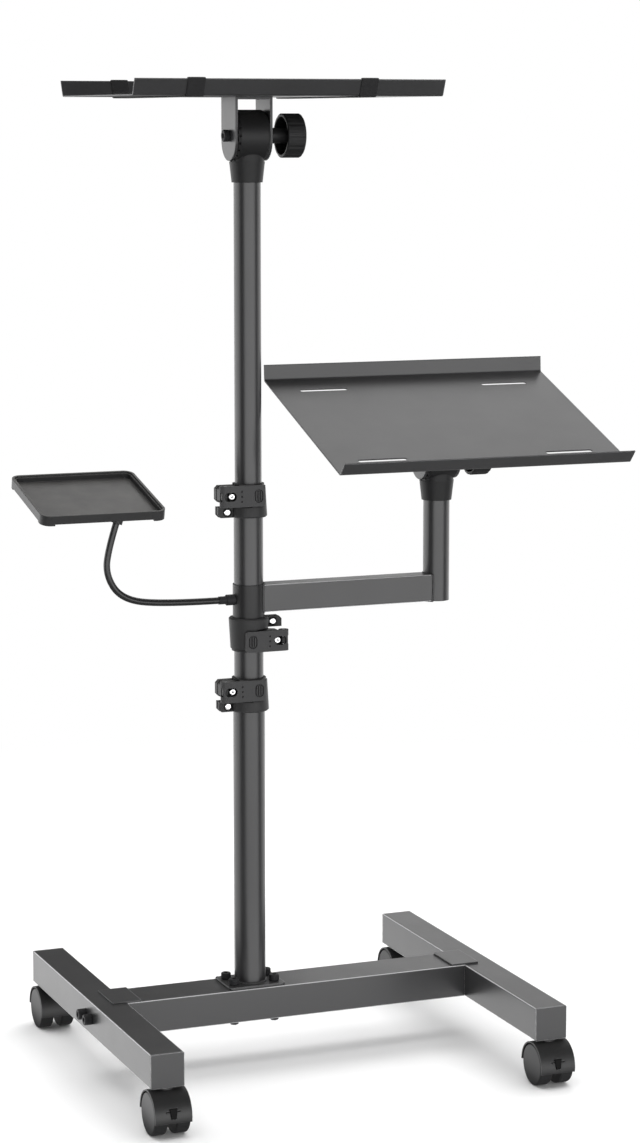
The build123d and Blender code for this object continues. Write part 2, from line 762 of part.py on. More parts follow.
# Write the base
for side, name in ((-1, "left"), (1, "right")):
    save(name + "_side_bar", side_bar(side))
    save(name + "_bar_end_caps", end_cap(side, -1), end_cap(side, 1))
    save(name + "_joint_plate", joint_plate(side))
    save(name + "_bar_bolts", *bar_bolts(side))
save("crossbar", crossbar())
save("column_base_plate", column_plate())
save("column_bolts", *column_bolts())

# Write the casters; the front pair has brakes
for side, side_name in ((-1, "left"), (1, "right")):
    for end, end_name in ((-1, "front"), (1, "rear")):
        place = Pos(side * bar_x, end * stem_y, 0)
        name = end_name + "_" + side_name
        save(name + "_caster_hood", place * caster_fork(end < 0))
        save(name + "_caster_wheels", place * caster_wheels())
        if end < 0:
            save(name + "_brake_lever", place * brake_lever())

# Write the column
post = Pos(post_x, 0, 0)
lower_clamp = post * Pos(0, 0, lower_clamp_z)
upper_clamp = post * Pos(0, 0, upper_clamp_z)
arm_clamp = post * Pos(0, 0, arm_clamp_top) * Rot(0, 180, 0)
lower_tube_top = lower_clamp_z + clamp_tube_stop
middle_tube_top = upper_clamp_z + clamp_tube_stop
upper_tube_top = tilt_pivot_z - cone_bottom + socket_depth
save("lower_tube", post * round_tube(lower_tube_d, plate_top, lower_tube_top))
save("middle_tube", post * round_tube(middle_tube_d, lower_tube_top - middle_tube_insert, middle_tube_top))
save("upper_tube", post * round_tube(upper_tube_d, middle_tube_top - upper_tube_insert, upper_tube_top))
for name, place, foot_d, top_d in (
    ("lower", lower_clamp, lower_tube_d, middle_tube_d),
    ("upper", upper_clamp, middle_tube_d, upper_tube_d),
    ("arm", arm_clamp, lower_tube_d, middle_tube_d),
):
    save(name + "_clamp_collar", place * clamp_collar(foot_d, top_d))
    save(name + "_clamp_screws", *[place * screw for screw in clamp_screws()])
    save(name + "_clamp_lever", place * clamp_lever(foot_d, top_d))

# Write the laptop arm, the gooseneck and its dish
save("arm_sleeve", arm_sleeve())
save("laptop_arm", laptop_arm())
save("laptop_riser", laptop_riser())
save("gooseneck_socket", neck_socket())
save("gooseneck", gooseneck())
save("remote_dish", remote_dish())

# Write the two tilting trays
for name, pivot, tilt in (
    ("projector", Pos(post_x, 0, tilt_pivot_z), 0.0),
    ("laptop", Pos(riser_x, 0, laptop_pivot_z), laptop_tilt),
):
    tilted = pivot * Rot(tilt, 0, 0)
    save(name + "_tilt_head", pivot * tilt_head(upper_tube_d))
    save(name + "_tray_bracket", tilted * tray_bracket())
    save(name + "_pivot_bolt", tilted * pivot_bolt())
    save(name + "_tilt_knob", tilted * tilt_knob())
    save(name + "_tray", tilted * sheet_tray())
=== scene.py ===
# %% [markdown]
# # A rolling presentation stand
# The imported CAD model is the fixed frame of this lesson. Every steel bar, tube and moulding is
# already there as a plain solid, so the cells below add a camera, light, finishes and the fine
# pieces that a plain solid lacks.

# %% Load the stand
import json
from math import cos, pi, radians, sin
import bpy
import numpy as np
from mathutils import Matrix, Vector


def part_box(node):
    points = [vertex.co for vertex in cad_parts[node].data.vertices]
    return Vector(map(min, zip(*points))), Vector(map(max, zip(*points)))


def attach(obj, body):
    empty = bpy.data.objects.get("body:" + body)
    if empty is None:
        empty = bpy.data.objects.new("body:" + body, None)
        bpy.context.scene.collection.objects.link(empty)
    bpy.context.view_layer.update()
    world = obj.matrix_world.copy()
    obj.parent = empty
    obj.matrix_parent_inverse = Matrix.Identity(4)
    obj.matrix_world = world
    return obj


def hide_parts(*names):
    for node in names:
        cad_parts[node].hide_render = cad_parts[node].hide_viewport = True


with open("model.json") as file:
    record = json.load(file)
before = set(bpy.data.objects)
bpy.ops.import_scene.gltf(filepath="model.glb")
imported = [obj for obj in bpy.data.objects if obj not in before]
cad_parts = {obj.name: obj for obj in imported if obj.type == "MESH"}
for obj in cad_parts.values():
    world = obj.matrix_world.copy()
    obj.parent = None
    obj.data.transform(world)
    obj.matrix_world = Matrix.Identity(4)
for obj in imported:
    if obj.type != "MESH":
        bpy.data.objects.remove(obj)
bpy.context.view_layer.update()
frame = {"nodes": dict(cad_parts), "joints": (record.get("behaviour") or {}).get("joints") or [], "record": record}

nodes = frame["nodes"]
scene = bpy.context.scene
scene.view_settings.view_transform = "Standard"

# %% [markdown]
# ## Camera
# The picture was taken with a long lens, a little to the left of the stand and from nearly the
# height of its top. A camera can be aimed with a Track To constraint, but a matrix built from two
# angles is exact: the third column points back at the viewer, the first lies level, and the
# second is their cross product.

# %% Place the camera
CAMERA_TURN = radians(-21.922)
CAMERA_RISE = radians(8.570)
CAMERA_AT = np.array((-1.3274, -3.3061, 1.1332))
LENS_MM = 94.38
SENSOR_MM = 36.0


def look(turn, rise):
    """Axes of a level view: back is (sin t cos r, -cos t cos r, sin r), right (cos t, sin t, 0)."""
    back = np.array((sin(turn) * cos(rise), -cos(turn) * cos(rise), sin(rise)))
    right = np.array((cos(turn), sin(turn), 0.0))
    return np.column_stack((right, np.cross(back, right), back))


def place(name, data, axes=np.eye(3), at=(0, 0, 0)):
    """Link an object with the given data, its axes as the columns of a matrix, at a point."""
    thing = bpy.data.objects.new(name, data)
    scene.collection.objects.link(thing)
    pose = np.eye(4)
    pose[:3, :3] = axes
    pose[:3, 3] = at
    thing.matrix_world = Matrix(pose.tolist())
    return thing


lens = bpy.data.cameras.new("camera")
lens.lens = LENS_MM
lens.sensor_width = SENSOR_MM
scene.camera = place("camera", lens, look(CAMERA_TURN, CAMERA_RISE), CAMERA_AT)
print("camera stands", round(float(np.linalg.norm(CAMERA_AT)), 2), "m from the foot of the stand")

# %% [markdown]
# ## Surfaces from arrays
# A turned, swept or rolled piece is a grid of points: one parameter runs along it and the other
# round it. Screw modifiers and curves could make such pieces too, but a grid of whole arrays is
# exact and easy to check. The helpers turn a grid into quads, close its ends with a fan, and make
# sure by the sign of the volume that the faces look outwards.

# %% Grids to faces
def outward(verts, quads, fans):
    """Turn every face round if the volume is negative.

    Six times the volume is the sum of (a - m) . ((b - a) x (c - a)) over the triangles a, b, c,
    with m the mean of all vertices.
    """
    tris = np.vstack((quads[:, :3], quads[:, [0, 2, 3]], fans))
    a, b, c = verts[tris[:, 0]], verts[tris[:, 1]], verts[tris[:, 2]]
    if np.einsum("ij,ij->", a - verts.mean(axis=0), np.cross(b - a, c - a)) < 0:
        quads, fans = quads[:, ::-1], fans[:, ::-1]
    return verts, quads, fans


def skin(points, ring=False):
    """Vertices, quads and fans of a grid with rows along a piece and columns round it.

    Each quad joins four neighbours, and the columns always close. In a ring the rows close too;
    otherwise a fan from the mean of the first and of the last row closes each end.
    """
    points = np.asarray(points, float)
    rows, cols = points.shape[:2]
    index = np.arange(rows * cols).reshape(rows, cols)
    beside = np.roll(index, -1, axis=1)
    above, above_beside = np.roll(index, -1, axis=0), np.roll(beside, -1, axis=0)
    quads = np.stack((index, beside, above_beside, above), axis=-1)
    verts = points.reshape(-1, 3)
    if ring:
        return outward(verts, quads.reshape(-1, 4), np.zeros((0, 3), int))
    first, last = len(verts), len(verts) + 1
    verts = np.vstack((verts, points[[0, -1]].mean(axis=1)))
    low = np.stack((beside[0], index[0], np.full(cols, first)), axis=-1)
    high = np.stack((index[-1], beside[-1], np.full(cols, last)), axis=-1)
    return outward(verts, quads[:-1].reshape(-1, 4), np.vstack((low, high)))


def round_turn(count):
    """Angles spread evenly round a full turn; the last step leads back to the first angle."""
    return np.linspace(0, 2 * pi, count, endpoint=False)


def turned(profile, columns, shape=None):
    """A lathe surface about local Z: (r cos u, r sin u, h), with r changed by shape(u, r)."""
    profile = np.asarray(profile, float)
    angle = round_turn(columns)
    radius = np.repeat(profile[:, :1], columns, axis=1)
    if shape is not None:
        radius = shape(angle[None, :], radius)
    height = np.repeat(profile[:, 1:2], columns, axis=1)
    return np.stack((radius * np.cos(angle), radius * np.sin(angle), height), axis=-1)


can = skin(turned([(0.01, 0.0), (0.01, 0.02)], 24))
print("a plain can has", len(can[1]), "quads and", len(can[2]), "fan triangles")


# %% Pieces that ride
SHARP_ANGLE = 35.0


def unit(vectors):
    """Vectors of length one, along the last axis."""
    return vectors / np.linalg.norm(vectors, axis=-1, keepdims=True)


def aimed(points, at, axis):
    """Local points turned so that Z lies along a level unit axis, then moved to a place."""
    axis = np.asarray(axis, float)
    side = unit(np.cross(axis, (0, 0, 1)))
    turn = np.column_stack((side, np.cross(axis, side), axis))
    return points @ turn.T + np.asarray(at)


def make_piece(name, skins, material, body, sharp=SHARP_ANGLE):
    """Join several skins into one mesh object that rides on a body."""
    verts, quads, fans = zip(*skins)
    starts = np.cumsum([0] + [len(group) for group in verts])
    quads = np.vstack([group + start for group, start in zip(quads, starts)])
    fans = np.vstack([group + start for group, start in zip(fans, starts)])
    mesh = bpy.data.meshes.new(name)
    mesh.from_pydata(np.vstack(verts).tolist(), [], quads.tolist() + fans.tolist())
    mesh.shade_smooth()
    mesh.set_sharp_from_angle(angle=radians(sharp))
    mesh.materials.append(material)
    piece = place(name, mesh)
    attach(piece, body)
    print(name, "has", len(quads) * 2 + len(fans), "triangles")
    return piece


print("edges are drawn sharp from", SHARP_ANGLE, "degrees")

# %% [markdown]
# ## Shared finish effects and painted light
# Five effects are node groups that are built once and placed in a finish with its own values.
# They could be painted on images instead, but noise and normals need no unwrapping and fit every
# piece. Paint flow and moulded grain are fine noise for a Bump node. The worn edge compares the
# true normal with a rounded one from a Bevel node: they differ only near an edge, where paint is
# thin and handling polishes a surface; with a pale colour and a high gain, as on the end caps and
# square tube, it also paints a highlight line. Dust lies where the normal points up. The long
# edges of square tube are found by the object's own normal and get a painted highlight line, and
# the recesses of a moulding are found by how much of the sky they see and get painted shade.

# %% Node helpers
def add(tree, kind, inputs=None, **settings):
    """Add a node: its own settings first, then a number or a link for each named input."""
    node = tree.nodes.new("ShaderNode" + kind)
    for label, value in settings.items():
        setattr(node, label, value)
    for label, value in (inputs or {}).items():
        if isinstance(value, bpy.types.NodeSocket):
            tree.links.new(value, node.inputs[label])
        else:
            node.inputs[label].default_value = value
    return node


def maths(tree, operation, first, second=0.5, third=0.5, clamp=False):
    """One Math node; each operand is a number or a socket, and what it doesn't need is ignored."""
    operands = {0: first, 1: second, 2: third}
    return add(tree, "Math", operands, operation=operation, use_clamp=clamp).outputs[0]


def noise(tree, scale, detail, rough):
    """A noise texture on Object coordinates; its scale is a number or a socket."""
    coords = add(tree, "TexCoord").outputs["Object"]
    inputs = {"Vector": coords, "Scale": scale, "Detail": detail, "Roughness": rough}
    return add(tree, "TexNoise", inputs).outputs["Fac"]


def new_group(name, inputs, outputs):
    """An empty node group: numbers go in, and Float or Vector values come out, all by name."""
    tree = bpy.data.node_groups.new(name, "ShaderNodeTree")
    for label, value in inputs.items():
        socket = tree.interface.new_socket(label, in_out="INPUT", socket_type="NodeSocketFloat")
        socket.default_value = value
    for label, kind in outputs.items():
        tree.interface.new_socket(label, in_out="OUTPUT", socket_type="NodeSocket" + kind)
    return tree, tree.nodes.new("NodeGroupInput").outputs, tree.nodes.new("NodeGroupOutput").inputs


def put_mask(tree, value, gain, result):
    """Put out a value times a gain as the mask of a group, kept between 0 and 1."""
    tree.links.new(maths(tree, "MULTIPLY", value, gain, clamp=True), result["Mask"])


def grain_group():
    """Two noises on Object coordinates: a fine one for the height, a broad one for the mottle."""
    tree, source, result = new_group("surface_grain", {"Grain scale": 900.0, "Mottle scale": 14.0},
                                     {"Height": "Float", "Mottle": "Float"})
    height = noise(tree, source["Grain scale"], detail=3.0, rough=0.6)
    mottle = noise(tree, source["Mottle scale"], detail=5.0, rough=0.6)
    tree.links.new(height, result["Height"])
    tree.links.new(mottle, result["Mottle"])
    return tree


GRAIN = grain_group()
print("group", GRAIN.name)


# %% Worn edges and painted edge highlights
def edge_group():
    """One minus the dot product of true and bevelled normal, broken by noise, times a gain."""
    tree, source, result = new_group("worn_edge_and_highlight", {"Radius": 0.0012, "Gain": 3.0},
                                     {"Mask": "Float", "Normal": "Vector"})
    rounded = add(tree, "Bevel", {"Radius": source["Radius"]}, samples=6).outputs["Normal"]
    true = add(tree, "NewGeometry").outputs["Normal"]
    dot = add(tree, "VectorMath", {0: rounded, 1: true}, operation="DOT_PRODUCT")
    bend = maths(tree, "SUBTRACT", 1.0, dot.outputs["Value"])
    patchy = maths(tree, "MULTIPLY", bend, noise(tree, scale=160.0, detail=4.0, rough=0.7))
    put_mask(tree, patchy, source["Gain"], result)
    tree.links.new(rounded, result["Normal"])
    return tree


EDGE = edge_group()
print("group", EDGE.name)

# %% Dust
DUST_FALL = 3.0


def dust_group():
    """The upward part of the normal, to a power, times a broad noise and an amount."""
    tree, source, result = new_group("settled_dust", {"Amount": 0.2}, {"Mask": "Float"})
    parts = add(tree, "SeparateXYZ", {0: add(tree, "NewGeometry").outputs["Normal"]})
    level = maths(tree, "MAXIMUM", parts.outputs["Z"], 0.0)
    upward = maths(tree, "POWER", level, DUST_FALL)
    cloud = maths(tree, "MULTIPLY", upward, noise(tree, scale=30.0, detail=6.0, rough=0.65))
    put_mask(tree, cloud, source["Amount"], result)
    return tree


DUST = dust_group()
print("group", DUST.name)


# %% Painted highlights on the edges of square tube
def box_edge_highlight_group():
    """A painted highlight on square tube: one minus the largest part of the object's own normal, 0 on a side, 0.29
    on a round edge.
    """
    tree, source, result = new_group("box_edge_highlight", {"Gain": 0.0}, {"Mask": "Float"})
    normal = add(tree, "TexCoord").outputs["Normal"]
    size = add(tree, "VectorMath", {0: normal}, operation="ABSOLUTE").outputs[0]
    parts = add(tree, "SeparateXYZ", {0: size}).outputs
    level = maths(tree, "MAXIMUM", parts["X"], parts["Y"])
    bend = maths(tree, "SUBTRACT", 1.0, maths(tree, "MAXIMUM", level, parts["Z"]))
    put_mask(tree, bend, source["Gain"], result)
    return tree


BOX_EDGE_HIGHLIGHT = box_edge_highlight_group()
print("group", BOX_EDGE_HIGHLIGHT.name)


# %% Painted shade in recesses
def recess_shade_group():
    """Painted shade in recesses: one minus the open share of the sky within a reach, times a gain."""
    tree, source, result = new_group("recess_shade", {"Reach": 0.003, "Gain": 1.0}, {"Mask": "Float"})
    sky = add(tree, "AmbientOcclusion", {"Distance": source["Reach"]}, samples=8).outputs["AO"]
    closed = maths(tree, "SUBTRACT", 1.0, sky)
    put_mask(tree, closed, source["Gain"], result)
    return tree


RECESS_SHADE = recess_shade_group()
print("group", RECESS_SHADE.name)

# %% [markdown]
# ## Finishes
# The steel is powder coated in a dark graphite, satin and very finely pebbled. Mouldings are
# black nylon with a spark-eroded grain. Clamp screws are bright zinc, the other bolts black
# oxide. Each could have its own node tree, but they differ only in colour, gloss, grain, wear,
# painted edge highlights and painted shade in recesses, so one function builds them all from a table.

# %% Finish builder
DUST_COLOUR = (0.32, 0.31, 0.29)
# painted shade, mixed into recesses and into the gaps between parts
RECESS_SHADE_COLOUR = (0.001, 0.001, 0.001)
PEBBLE_DEPTH = 0.0004
MOTTLE_SPAN = (0.25, 0.75)


def mix_colour(tree, factor, first, second):
    """Blend two colours by a factor socket; each colour is a socket or an RGB triple."""
    pair = [(*value, 1.0) if isinstance(value, tuple) else value for value in (first, second)]
    return add(tree, "Mix", {0: factor, 6: pair[0], 7: pair[1]}, data_type="RGBA").outputs[2]


def use_group(tree, group, **values):
    """Place a node group and set or link its inputs by name, with underscores for spaces."""
    inputs = {label.replace("_", " "): value for label, value in values.items()}
    return add(tree, "Group", inputs, node_tree=group).outputs


def graded(tree, value, span, levels=(0.0, 1.0), kind="SMOOTHSTEP"):
    """Map a span of values to a pair of levels, smoothly or in a straight line."""
    labels = ("From Min", "From Max", "To Min", "To Max")
    inputs = dict(zip(labels, (*span, *levels)), Value=value)
    return add(tree, "MapRange", inputs, interpolation_type=kind).outputs["Result"]


def new_material(name, **values):
    """A material with its Principled shader, and plain numbers on the shader's own sockets."""
    material = bpy.data.materials.new(name)
    material.use_nodes = True
    shader = material.node_tree.nodes["Principled BSDF"]
    for label, value in values.items():
        shader.inputs[label.replace("_", " ")].default_value = value
    return material, material.node_tree, shader


def finish(name, dark, light, edge, gloss, grain, bump, metal=0.0, level=0.5, dust=0.12,
           edge_radius=0.0012, edge_gain=3.0, box_highlight_gain=0.0, recess_shade=0.0):
    """Mottle between two colours, paler at edges from wear and painted highlight, painted shade in recesses, with
    dust, grain and gloss.
    """
    material, tree, shader = new_material(name, Metallic=metal, Specular_IOR_Level=level)
    speckle = use_group(tree, GRAIN, Grain_scale=grain)
    rim = use_group(tree, EDGE, Radius=edge_radius, Gain=edge_gain)
    # pale edges: real wear, and with a pale colour and a high gain a painted highlight
    wear_and_highlight_mask = rim["Mask"]
    # on square tube the pale edge colour also paints a highlight line along each rounded edge
    if box_highlight_gain:
        wear_and_highlight_mask = maths(tree, "MAXIMUM", wear_and_highlight_mask, use_group(tree, BOX_EDGE_HIGHLIGHT, Gain=box_highlight_gain)["Mask"])
    colour = mix_colour(tree, speckle["Mottle"], dark, light)
    colour = mix_colour(tree, wear_and_highlight_mask, colour, edge)
    colour = mix_colour(tree, use_group(tree, DUST, Amount=dust)["Mask"], colour, DUST_COLOUR)
    # painted shade: ambient occlusion darkens recesses and the gaps between parts
    if recess_shade:
        recess_shade_mask = use_group(tree, RECESS_SHADE, Gain=recess_shade)["Mask"]
        colour = mix_colour(tree, recess_shade_mask, colour, RECESS_SHADE_COLOUR)
    rough = graded(tree, speckle["Mottle"], MOTTLE_SPAN, gloss, "LINEAR")
    pebble = add(tree, "Bump", {"Strength": bump, "Distance": PEBBLE_DEPTH,
                                "Height": speckle["Height"], "Normal": rim["Normal"]})
    tree.links.new(colour, shader.inputs["Base Color"])
    tree.links.new(rough, shader.inputs["Roughness"])
    tree.links.new(pebble.outputs["Normal"], shader.inputs["Normal"])
    return material


print("pebbles are at most", PEBBLE_DEPTH, "m deep")

# %% The stand's own finishes
STEEL = dict(dark=(0.020, 0.020, 0.021), light=(0.027, 0.027, 0.028), edge=(0.30, 0.30, 0.31),
             gloss=(0.28, 0.34), grain=1600.0, bump=0.06, dust=0.06, edge_radius=0.0016)
SMOOTH = dict(grain=1300.0, bump=0.08)
INK = dict(SMOOTH, dark=(0.010, 0.010, 0.0105), light=(0.014, 0.014, 0.0145))
MOULDED = dict(grain=1100.0, bump=0.18)
FINISHES = {
    "powder_coat": STEEL,
    # square tube: a pale edge colour paints highlight lines on the rounded edges
    "box_tube_coat": dict(STEEL, edge=(0.70, 0.70, 0.71), box_highlight_gain=3.6),
    "bracket_coat": dict(STEEL, level=0.36),
    "sleeve_paint": dict(INK, edge=(0.06, 0.06, 0.062), gloss=(0.36, 0.44), level=0.30),
    "neck_sheath": dict(INK, edge=(0.05, 0.05, 0.05), gloss=(0.26, 0.33), level=0.40),
    # end caps: a pale edge colour with a high gain paints highlight lines on the edges
    "cap_nylon": dict(SMOOTH, dark=(0.020, 0.020, 0.021), light=(0.026, 0.026, 0.027),
                      edge=(0.66, 0.66, 0.67), gloss=(0.34, 0.42),
                      edge_radius=0.0016, edge_gain=4.5),
    "moulded_nylon": dict(MOULDED, dark=(0.009, 0.009, 0.0095), light=(0.012, 0.012, 0.0125),
                          edge=(0.040, 0.040, 0.042), gloss=(0.42, 0.52), level=0.26),
    "brake_nylon": dict(MOULDED, dark=(0.003, 0.003, 0.003), light=(0.005, 0.005, 0.005),
                        edge=(0.012, 0.012, 0.012), gloss=(0.55, 0.65), level=0.12),
    # lever and collar: painted shade in their recesses and in the gaps between them
    "lever_nylon": dict(MOULDED, dark=(0.046, 0.046, 0.047), light=(0.054, 0.054, 0.055),
                        edge=(0.14, 0.14, 0.144), gloss=(0.48, 0.56), level=0.14, recess_shade=2.4),
    "collar_nylon": dict(MOULDED, dark=(0.026, 0.026, 0.0265), light=(0.032, 0.032, 0.0325),
                         edge=(0.08, 0.08, 0.082), gloss=(0.42, 0.50), level=0.18, recess_shade=2.4),
    "dish_nylon": dict(MOULDED, dark=(0.021, 0.021, 0.0215), light=(0.026, 0.026, 0.0265),
                       edge=(0.07, 0.07, 0.072), gloss=(0.38, 0.46), bump=0.14,
                       level=0.28, dust=0.26),
    "hood_nylon": dict(MOULDED, dark=(0.007, 0.007, 0.0073), light=(0.010, 0.010, 0.0103),
                       edge=(0.12, 0.12, 0.122), gloss=(0.50, 0.58), bump=0.14,
                       level=0.75, dust=0.04),
    "wheel_nylon": dict(dark=(0.018, 0.018, 0.0185), light=(0.024, 0.024, 0.025),
                        edge=(0.07, 0.07, 0.07), gloss=(0.42, 0.52), grain=700.0, bump=0.16,
                        level=0.30, dust=0.15),
    "bright_zinc": dict(dark=(0.80, 0.80, 0.81), light=(0.86, 0.86, 0.87), edge=(0.92, 0.92, 0.92),
                        gloss=(0.22, 0.30), grain=500.0, bump=0.05, metal=1.0, dust=0.05,
                        edge_radius=0.0004),
    "black_oxide": dict(dark=(0.018, 0.018, 0.019), light=(0.024, 0.024, 0.026),
                        edge=(0.05, 0.05, 0.05), gloss=(0.46, 0.56), grain=900.0, bump=0.10,
                        level=0.12, dust=0.08, edge_radius=0.0005),
}
finishes = {name: finish(name, **values) for name, values in FINISHES.items()}
print("finishes:", len(finishes))

# %% Finishes on the CAD pieces
FINISH_OF_SLOT = {
    "black_powder_coat": "powder_coat",
    "black_moulding": "moulded_nylon",
    "wheel_moulding": "wheel_nylon",
    "bright_screw": "bright_zinc",
    "black_bolt": "black_oxide",
    "gooseneck_sheath": "neck_sheath",
}
OWN_FINISH = {
    "box_tube_coat": ("left_side_bar", "right_side_bar", "crossbar", "laptop_arm"),
    "bracket_coat": ("projector_tray_bracket", "laptop_tray_bracket"),
    "sleeve_paint": ("arm_sleeve",),
    "cap_nylon": ("left_bar_end_caps", "right_bar_end_caps"),
    "collar_nylon": ("lower_clamp_collar", "upper_clamp_collar", "arm_clamp_collar"),
    "lever_nylon": ("lower_clamp_lever", "upper_clamp_lever", "arm_clamp_lever"),
    "hood_nylon": ("front_left_caster_hood", "front_right_caster_hood",
                   "rear_left_caster_hood", "rear_right_caster_hood"),
    "brake_nylon": ("front_left_brake_lever", "front_right_brake_lever"),
    "dish_nylon": ("remote_dish",),
    "black_oxide": ("gooseneck_socket",),
}
finish_of = {node: name for name, group in OWN_FINISH.items() for node in group}
for part in frame["record"]["subparts"]:
    name = finish_of.get(part["node"], FINISH_OF_SLOT[part["material_slot"]])
    mesh = nodes[part["node"]].data
    mesh.materials.clear()
    mesh.materials.append(finishes[name])
print("CAD pieces with a finish of their own:", len(finish_of))

# %% [markdown]
# ## Clamping knobs
# Each tilt head is locked by a cup-shaped knob. Its grip has shallow flutes for the fingers and
# fine straight ribs between them. An array of cutters could do this, but on a turned surface it
# is just a change of radius with the angle: the flutes are parabolas and the ribs a cosine, both
# only where the profile is on the grip.

# %% Knob surface
KNOB_R = 0.0260
FLUTES, FLUTE_DEPTH, FLUTE_ROUND = 12, 0.0007, 0.0045
RIBS, RIB_DEPTH, RIB_STEPS = 96, 0.00030, 6
GRIP_FROM, GRIP_BLEND = 0.0235, 0.0022
NO_FLUTE = 1e-6


def along(corners, counts):
    """Points spread along a polyline: each run between two corners gets its own count."""
    corners = np.asarray(corners, float)
    runs = [np.linspace(a, b, n, endpoint=False) for a, b, n in zip(corners, corners[1:], counts)]
    return np.vstack(runs + [corners[-1:]])


def knob_shape(angle, radius):
    """Radius less a parabola in each flute and a fine cosine between them, on the grip only."""
    on_grip = np.clip((radius - GRIP_FROM) / GRIP_BLEND, 0, 1)
    step = 2 * pi / FLUTES
    off = (np.mod(angle + step / 2, step) - step / 2) * KNOB_R
    flute = np.maximum(0, FLUTE_DEPTH - off ** 2 / (2 * FLUTE_ROUND))
    rib = RIB_DEPTH * (0.5 - 0.5 * np.cos(RIBS * angle)) * (flute < NO_FLUTE)
    return radius - on_grip * (flute + rib)


print("knob:", FLUTES, "flutes and", RIBS, "ribs")

# %% Fluted knobs
# radii, and distances along the pivot from its middle
KNOB_RIM, KNOB_END = 0.0425, 0.0655
RIM_STEPS = ((0.0016, 0.0), (0.0008, 0.0002), (0.0, 0.0009))  # inwards and along
HUB_START, HUB_R, HUB_BORE, EDGE_CUT = 0.0234, 0.0092, 0.0020, 0.0006
CUP_FLOOR, CUP_R, CUP_ROUND = 0.0605, 0.0219, 0.001
CROWN_R, CROWN_FROM, CROWN_TO, CROWN_POINTS, GRIP_STOP = 0.0025, 8, 90, 7, 0.0026
FACE_R, FACE_INNER_R, FACE_MIDDLE_R, FACE_SINK = 0.0210, 0.0205, 0.0060, 0.0005
joint_at = {joint["name"]: np.array(joint.get("pos_m", (0, 0, 0))) for joint in frame["joints"]}

rim = [(KNOB_R - inwards, KNOB_RIM + up) for inwards, up in RIM_STEPS]
inside = along([(HUB_BORE, HUB_START), (HUB_R - EDGE_CUT, HUB_START),
                (HUB_R, HUB_START + EDGE_CUT), (HUB_R, CUP_FLOOR - CUP_ROUND),
                (HUB_R + CUP_ROUND, CUP_FLOOR), (CUP_R - CUP_ROUND, CUP_FLOOR),
                (CUP_R, CUP_FLOOR - CUP_ROUND), (CUP_R, KNOB_RIM + EDGE_CUT),
                (CUP_R + EDGE_CUT, KNOB_RIM), rim[0]], [3, 1, 3, 2, 3, 2, 4, 2, 2])
grip = along([rim[1], rim[2], (KNOB_R, KNOB_END - GRIP_STOP)], [2, 5])
turn = np.radians(np.linspace(CROWN_FROM, CROWN_TO, CROWN_POINTS))
crown = np.column_stack((KNOB_R - CROWN_R + CROWN_R * np.cos(turn),
                         KNOB_END - CROWN_R + CROWN_R * np.sin(turn)))
face = along([(FACE_R, KNOB_END), (FACE_INNER_R, KNOB_END - FACE_SINK),
              (FACE_MIDDLE_R, KNOB_END - FACE_SINK)], [2, 3])
knob_grid = turned(np.vstack((inside, grip, crown, face)), RIB_STEPS * RIBS, knob_shape)
for side in ("projector", "laptop"):
    knob_skin = skin(aimed(knob_grid, joint_at[side + "_tilt"], (1, 0, 0)))
    knob = make_piece(side + "_knob_grip", [knob_skin], finishes["moulded_nylon"], side + "_knob")
    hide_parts(side + "_tilt_knob")

# %% [markdown]
# ## Socket screws
# The bolts of the base and the pivots are cap screws with a knurled head and a hexagon socket. A
# socket is usually cut with a boolean. On a turned surface the radius can change with the angle
# instead: inside the socket it is the distance to the side of a hexagon, a / cos of the angle
# folded into a sixth of a turn.

# %% Cap screw
CAP_TIP_R, CAP_TIP_LENGTH = 0.85, 0.15  # shares of the shank's radius
CAP_LIP, CAP_TOP, CAP_WELL, CAP_MIDDLE = 0.08, 0.68, 0.60, 0.10  # shares of the head's radius
CAP_FLOOR, CAP_DEEP, CAP_STEP = 0.45, 0.40, 0.0002  # shares of the head's height, and a step in m
TOP_LIP, SIDE_LIP = 1.6, 0.2  # shares of the lip
KNURL_DEPTH = 0.035  # share of the head's radius


def hexagon(angle, across):
    """Distance from the centre to the side of a hexagon with the given width across flats."""
    sixth = pi / 3
    return across / 2 / np.cos(np.mod(angle + sixth / 2, sixth) - sixth / 2)


def socketed(outer, well, socket, columns, knurl=None):
    """Turn a profile that ends in a well, where the radius follows the hexagon."""
    profile = np.vstack((outer, well))
    in_well = (np.arange(len(profile)) >= len(outer))[:, None]

    def shape(angle, radius):
        outside = radius if knurl is None else radius - knurl(angle, radius)
        return np.where(in_well, radius / well[0, 0] * hexagon(angle, socket), outside)

    return turned(profile, columns, shape)


def cap_screw(shank_r, shank_length, head_r, head_height, socket, knurls):
    """A cap screw from its shank's end, up the head and down into its socket.

    The knurl takes a squared cosine of the angle off the side of the head.
    """
    lip, well_r = CAP_LIP * head_r, CAP_WELL * head_r
    outer = along([(CAP_TIP_R * shank_r, -shank_length),
                   (shank_r, -shank_length + CAP_TIP_LENGTH * shank_r), (shank_r, 0),
                   (head_r - lip, 0), (head_r, lip), (head_r, head_height - 2 * lip),
                   (head_r - TOP_LIP * lip, head_height), (CAP_TOP * head_r, head_height)],
                  [1, 4, 2, 1, 6, 2, 3])
    well = along([(well_r, head_height - CAP_STEP), (well_r, CAP_FLOOR * head_height),
                  (CAP_MIDDLE * head_r, CAP_DEEP * head_height)], [3, 2])

    def knurl(angle, radius):
        wave = KNURL_DEPTH * head_r * (0.5 + 0.5 * np.cos(knurls * angle)) ** 2
        return (radius > head_r - SIDE_LIP * lip) * wave

    return socketed(outer, well, socket, RIB_STEPS * knurls, knurl)


print("cap screw: socket rim at", CAP_WELL, "of the head's radius")

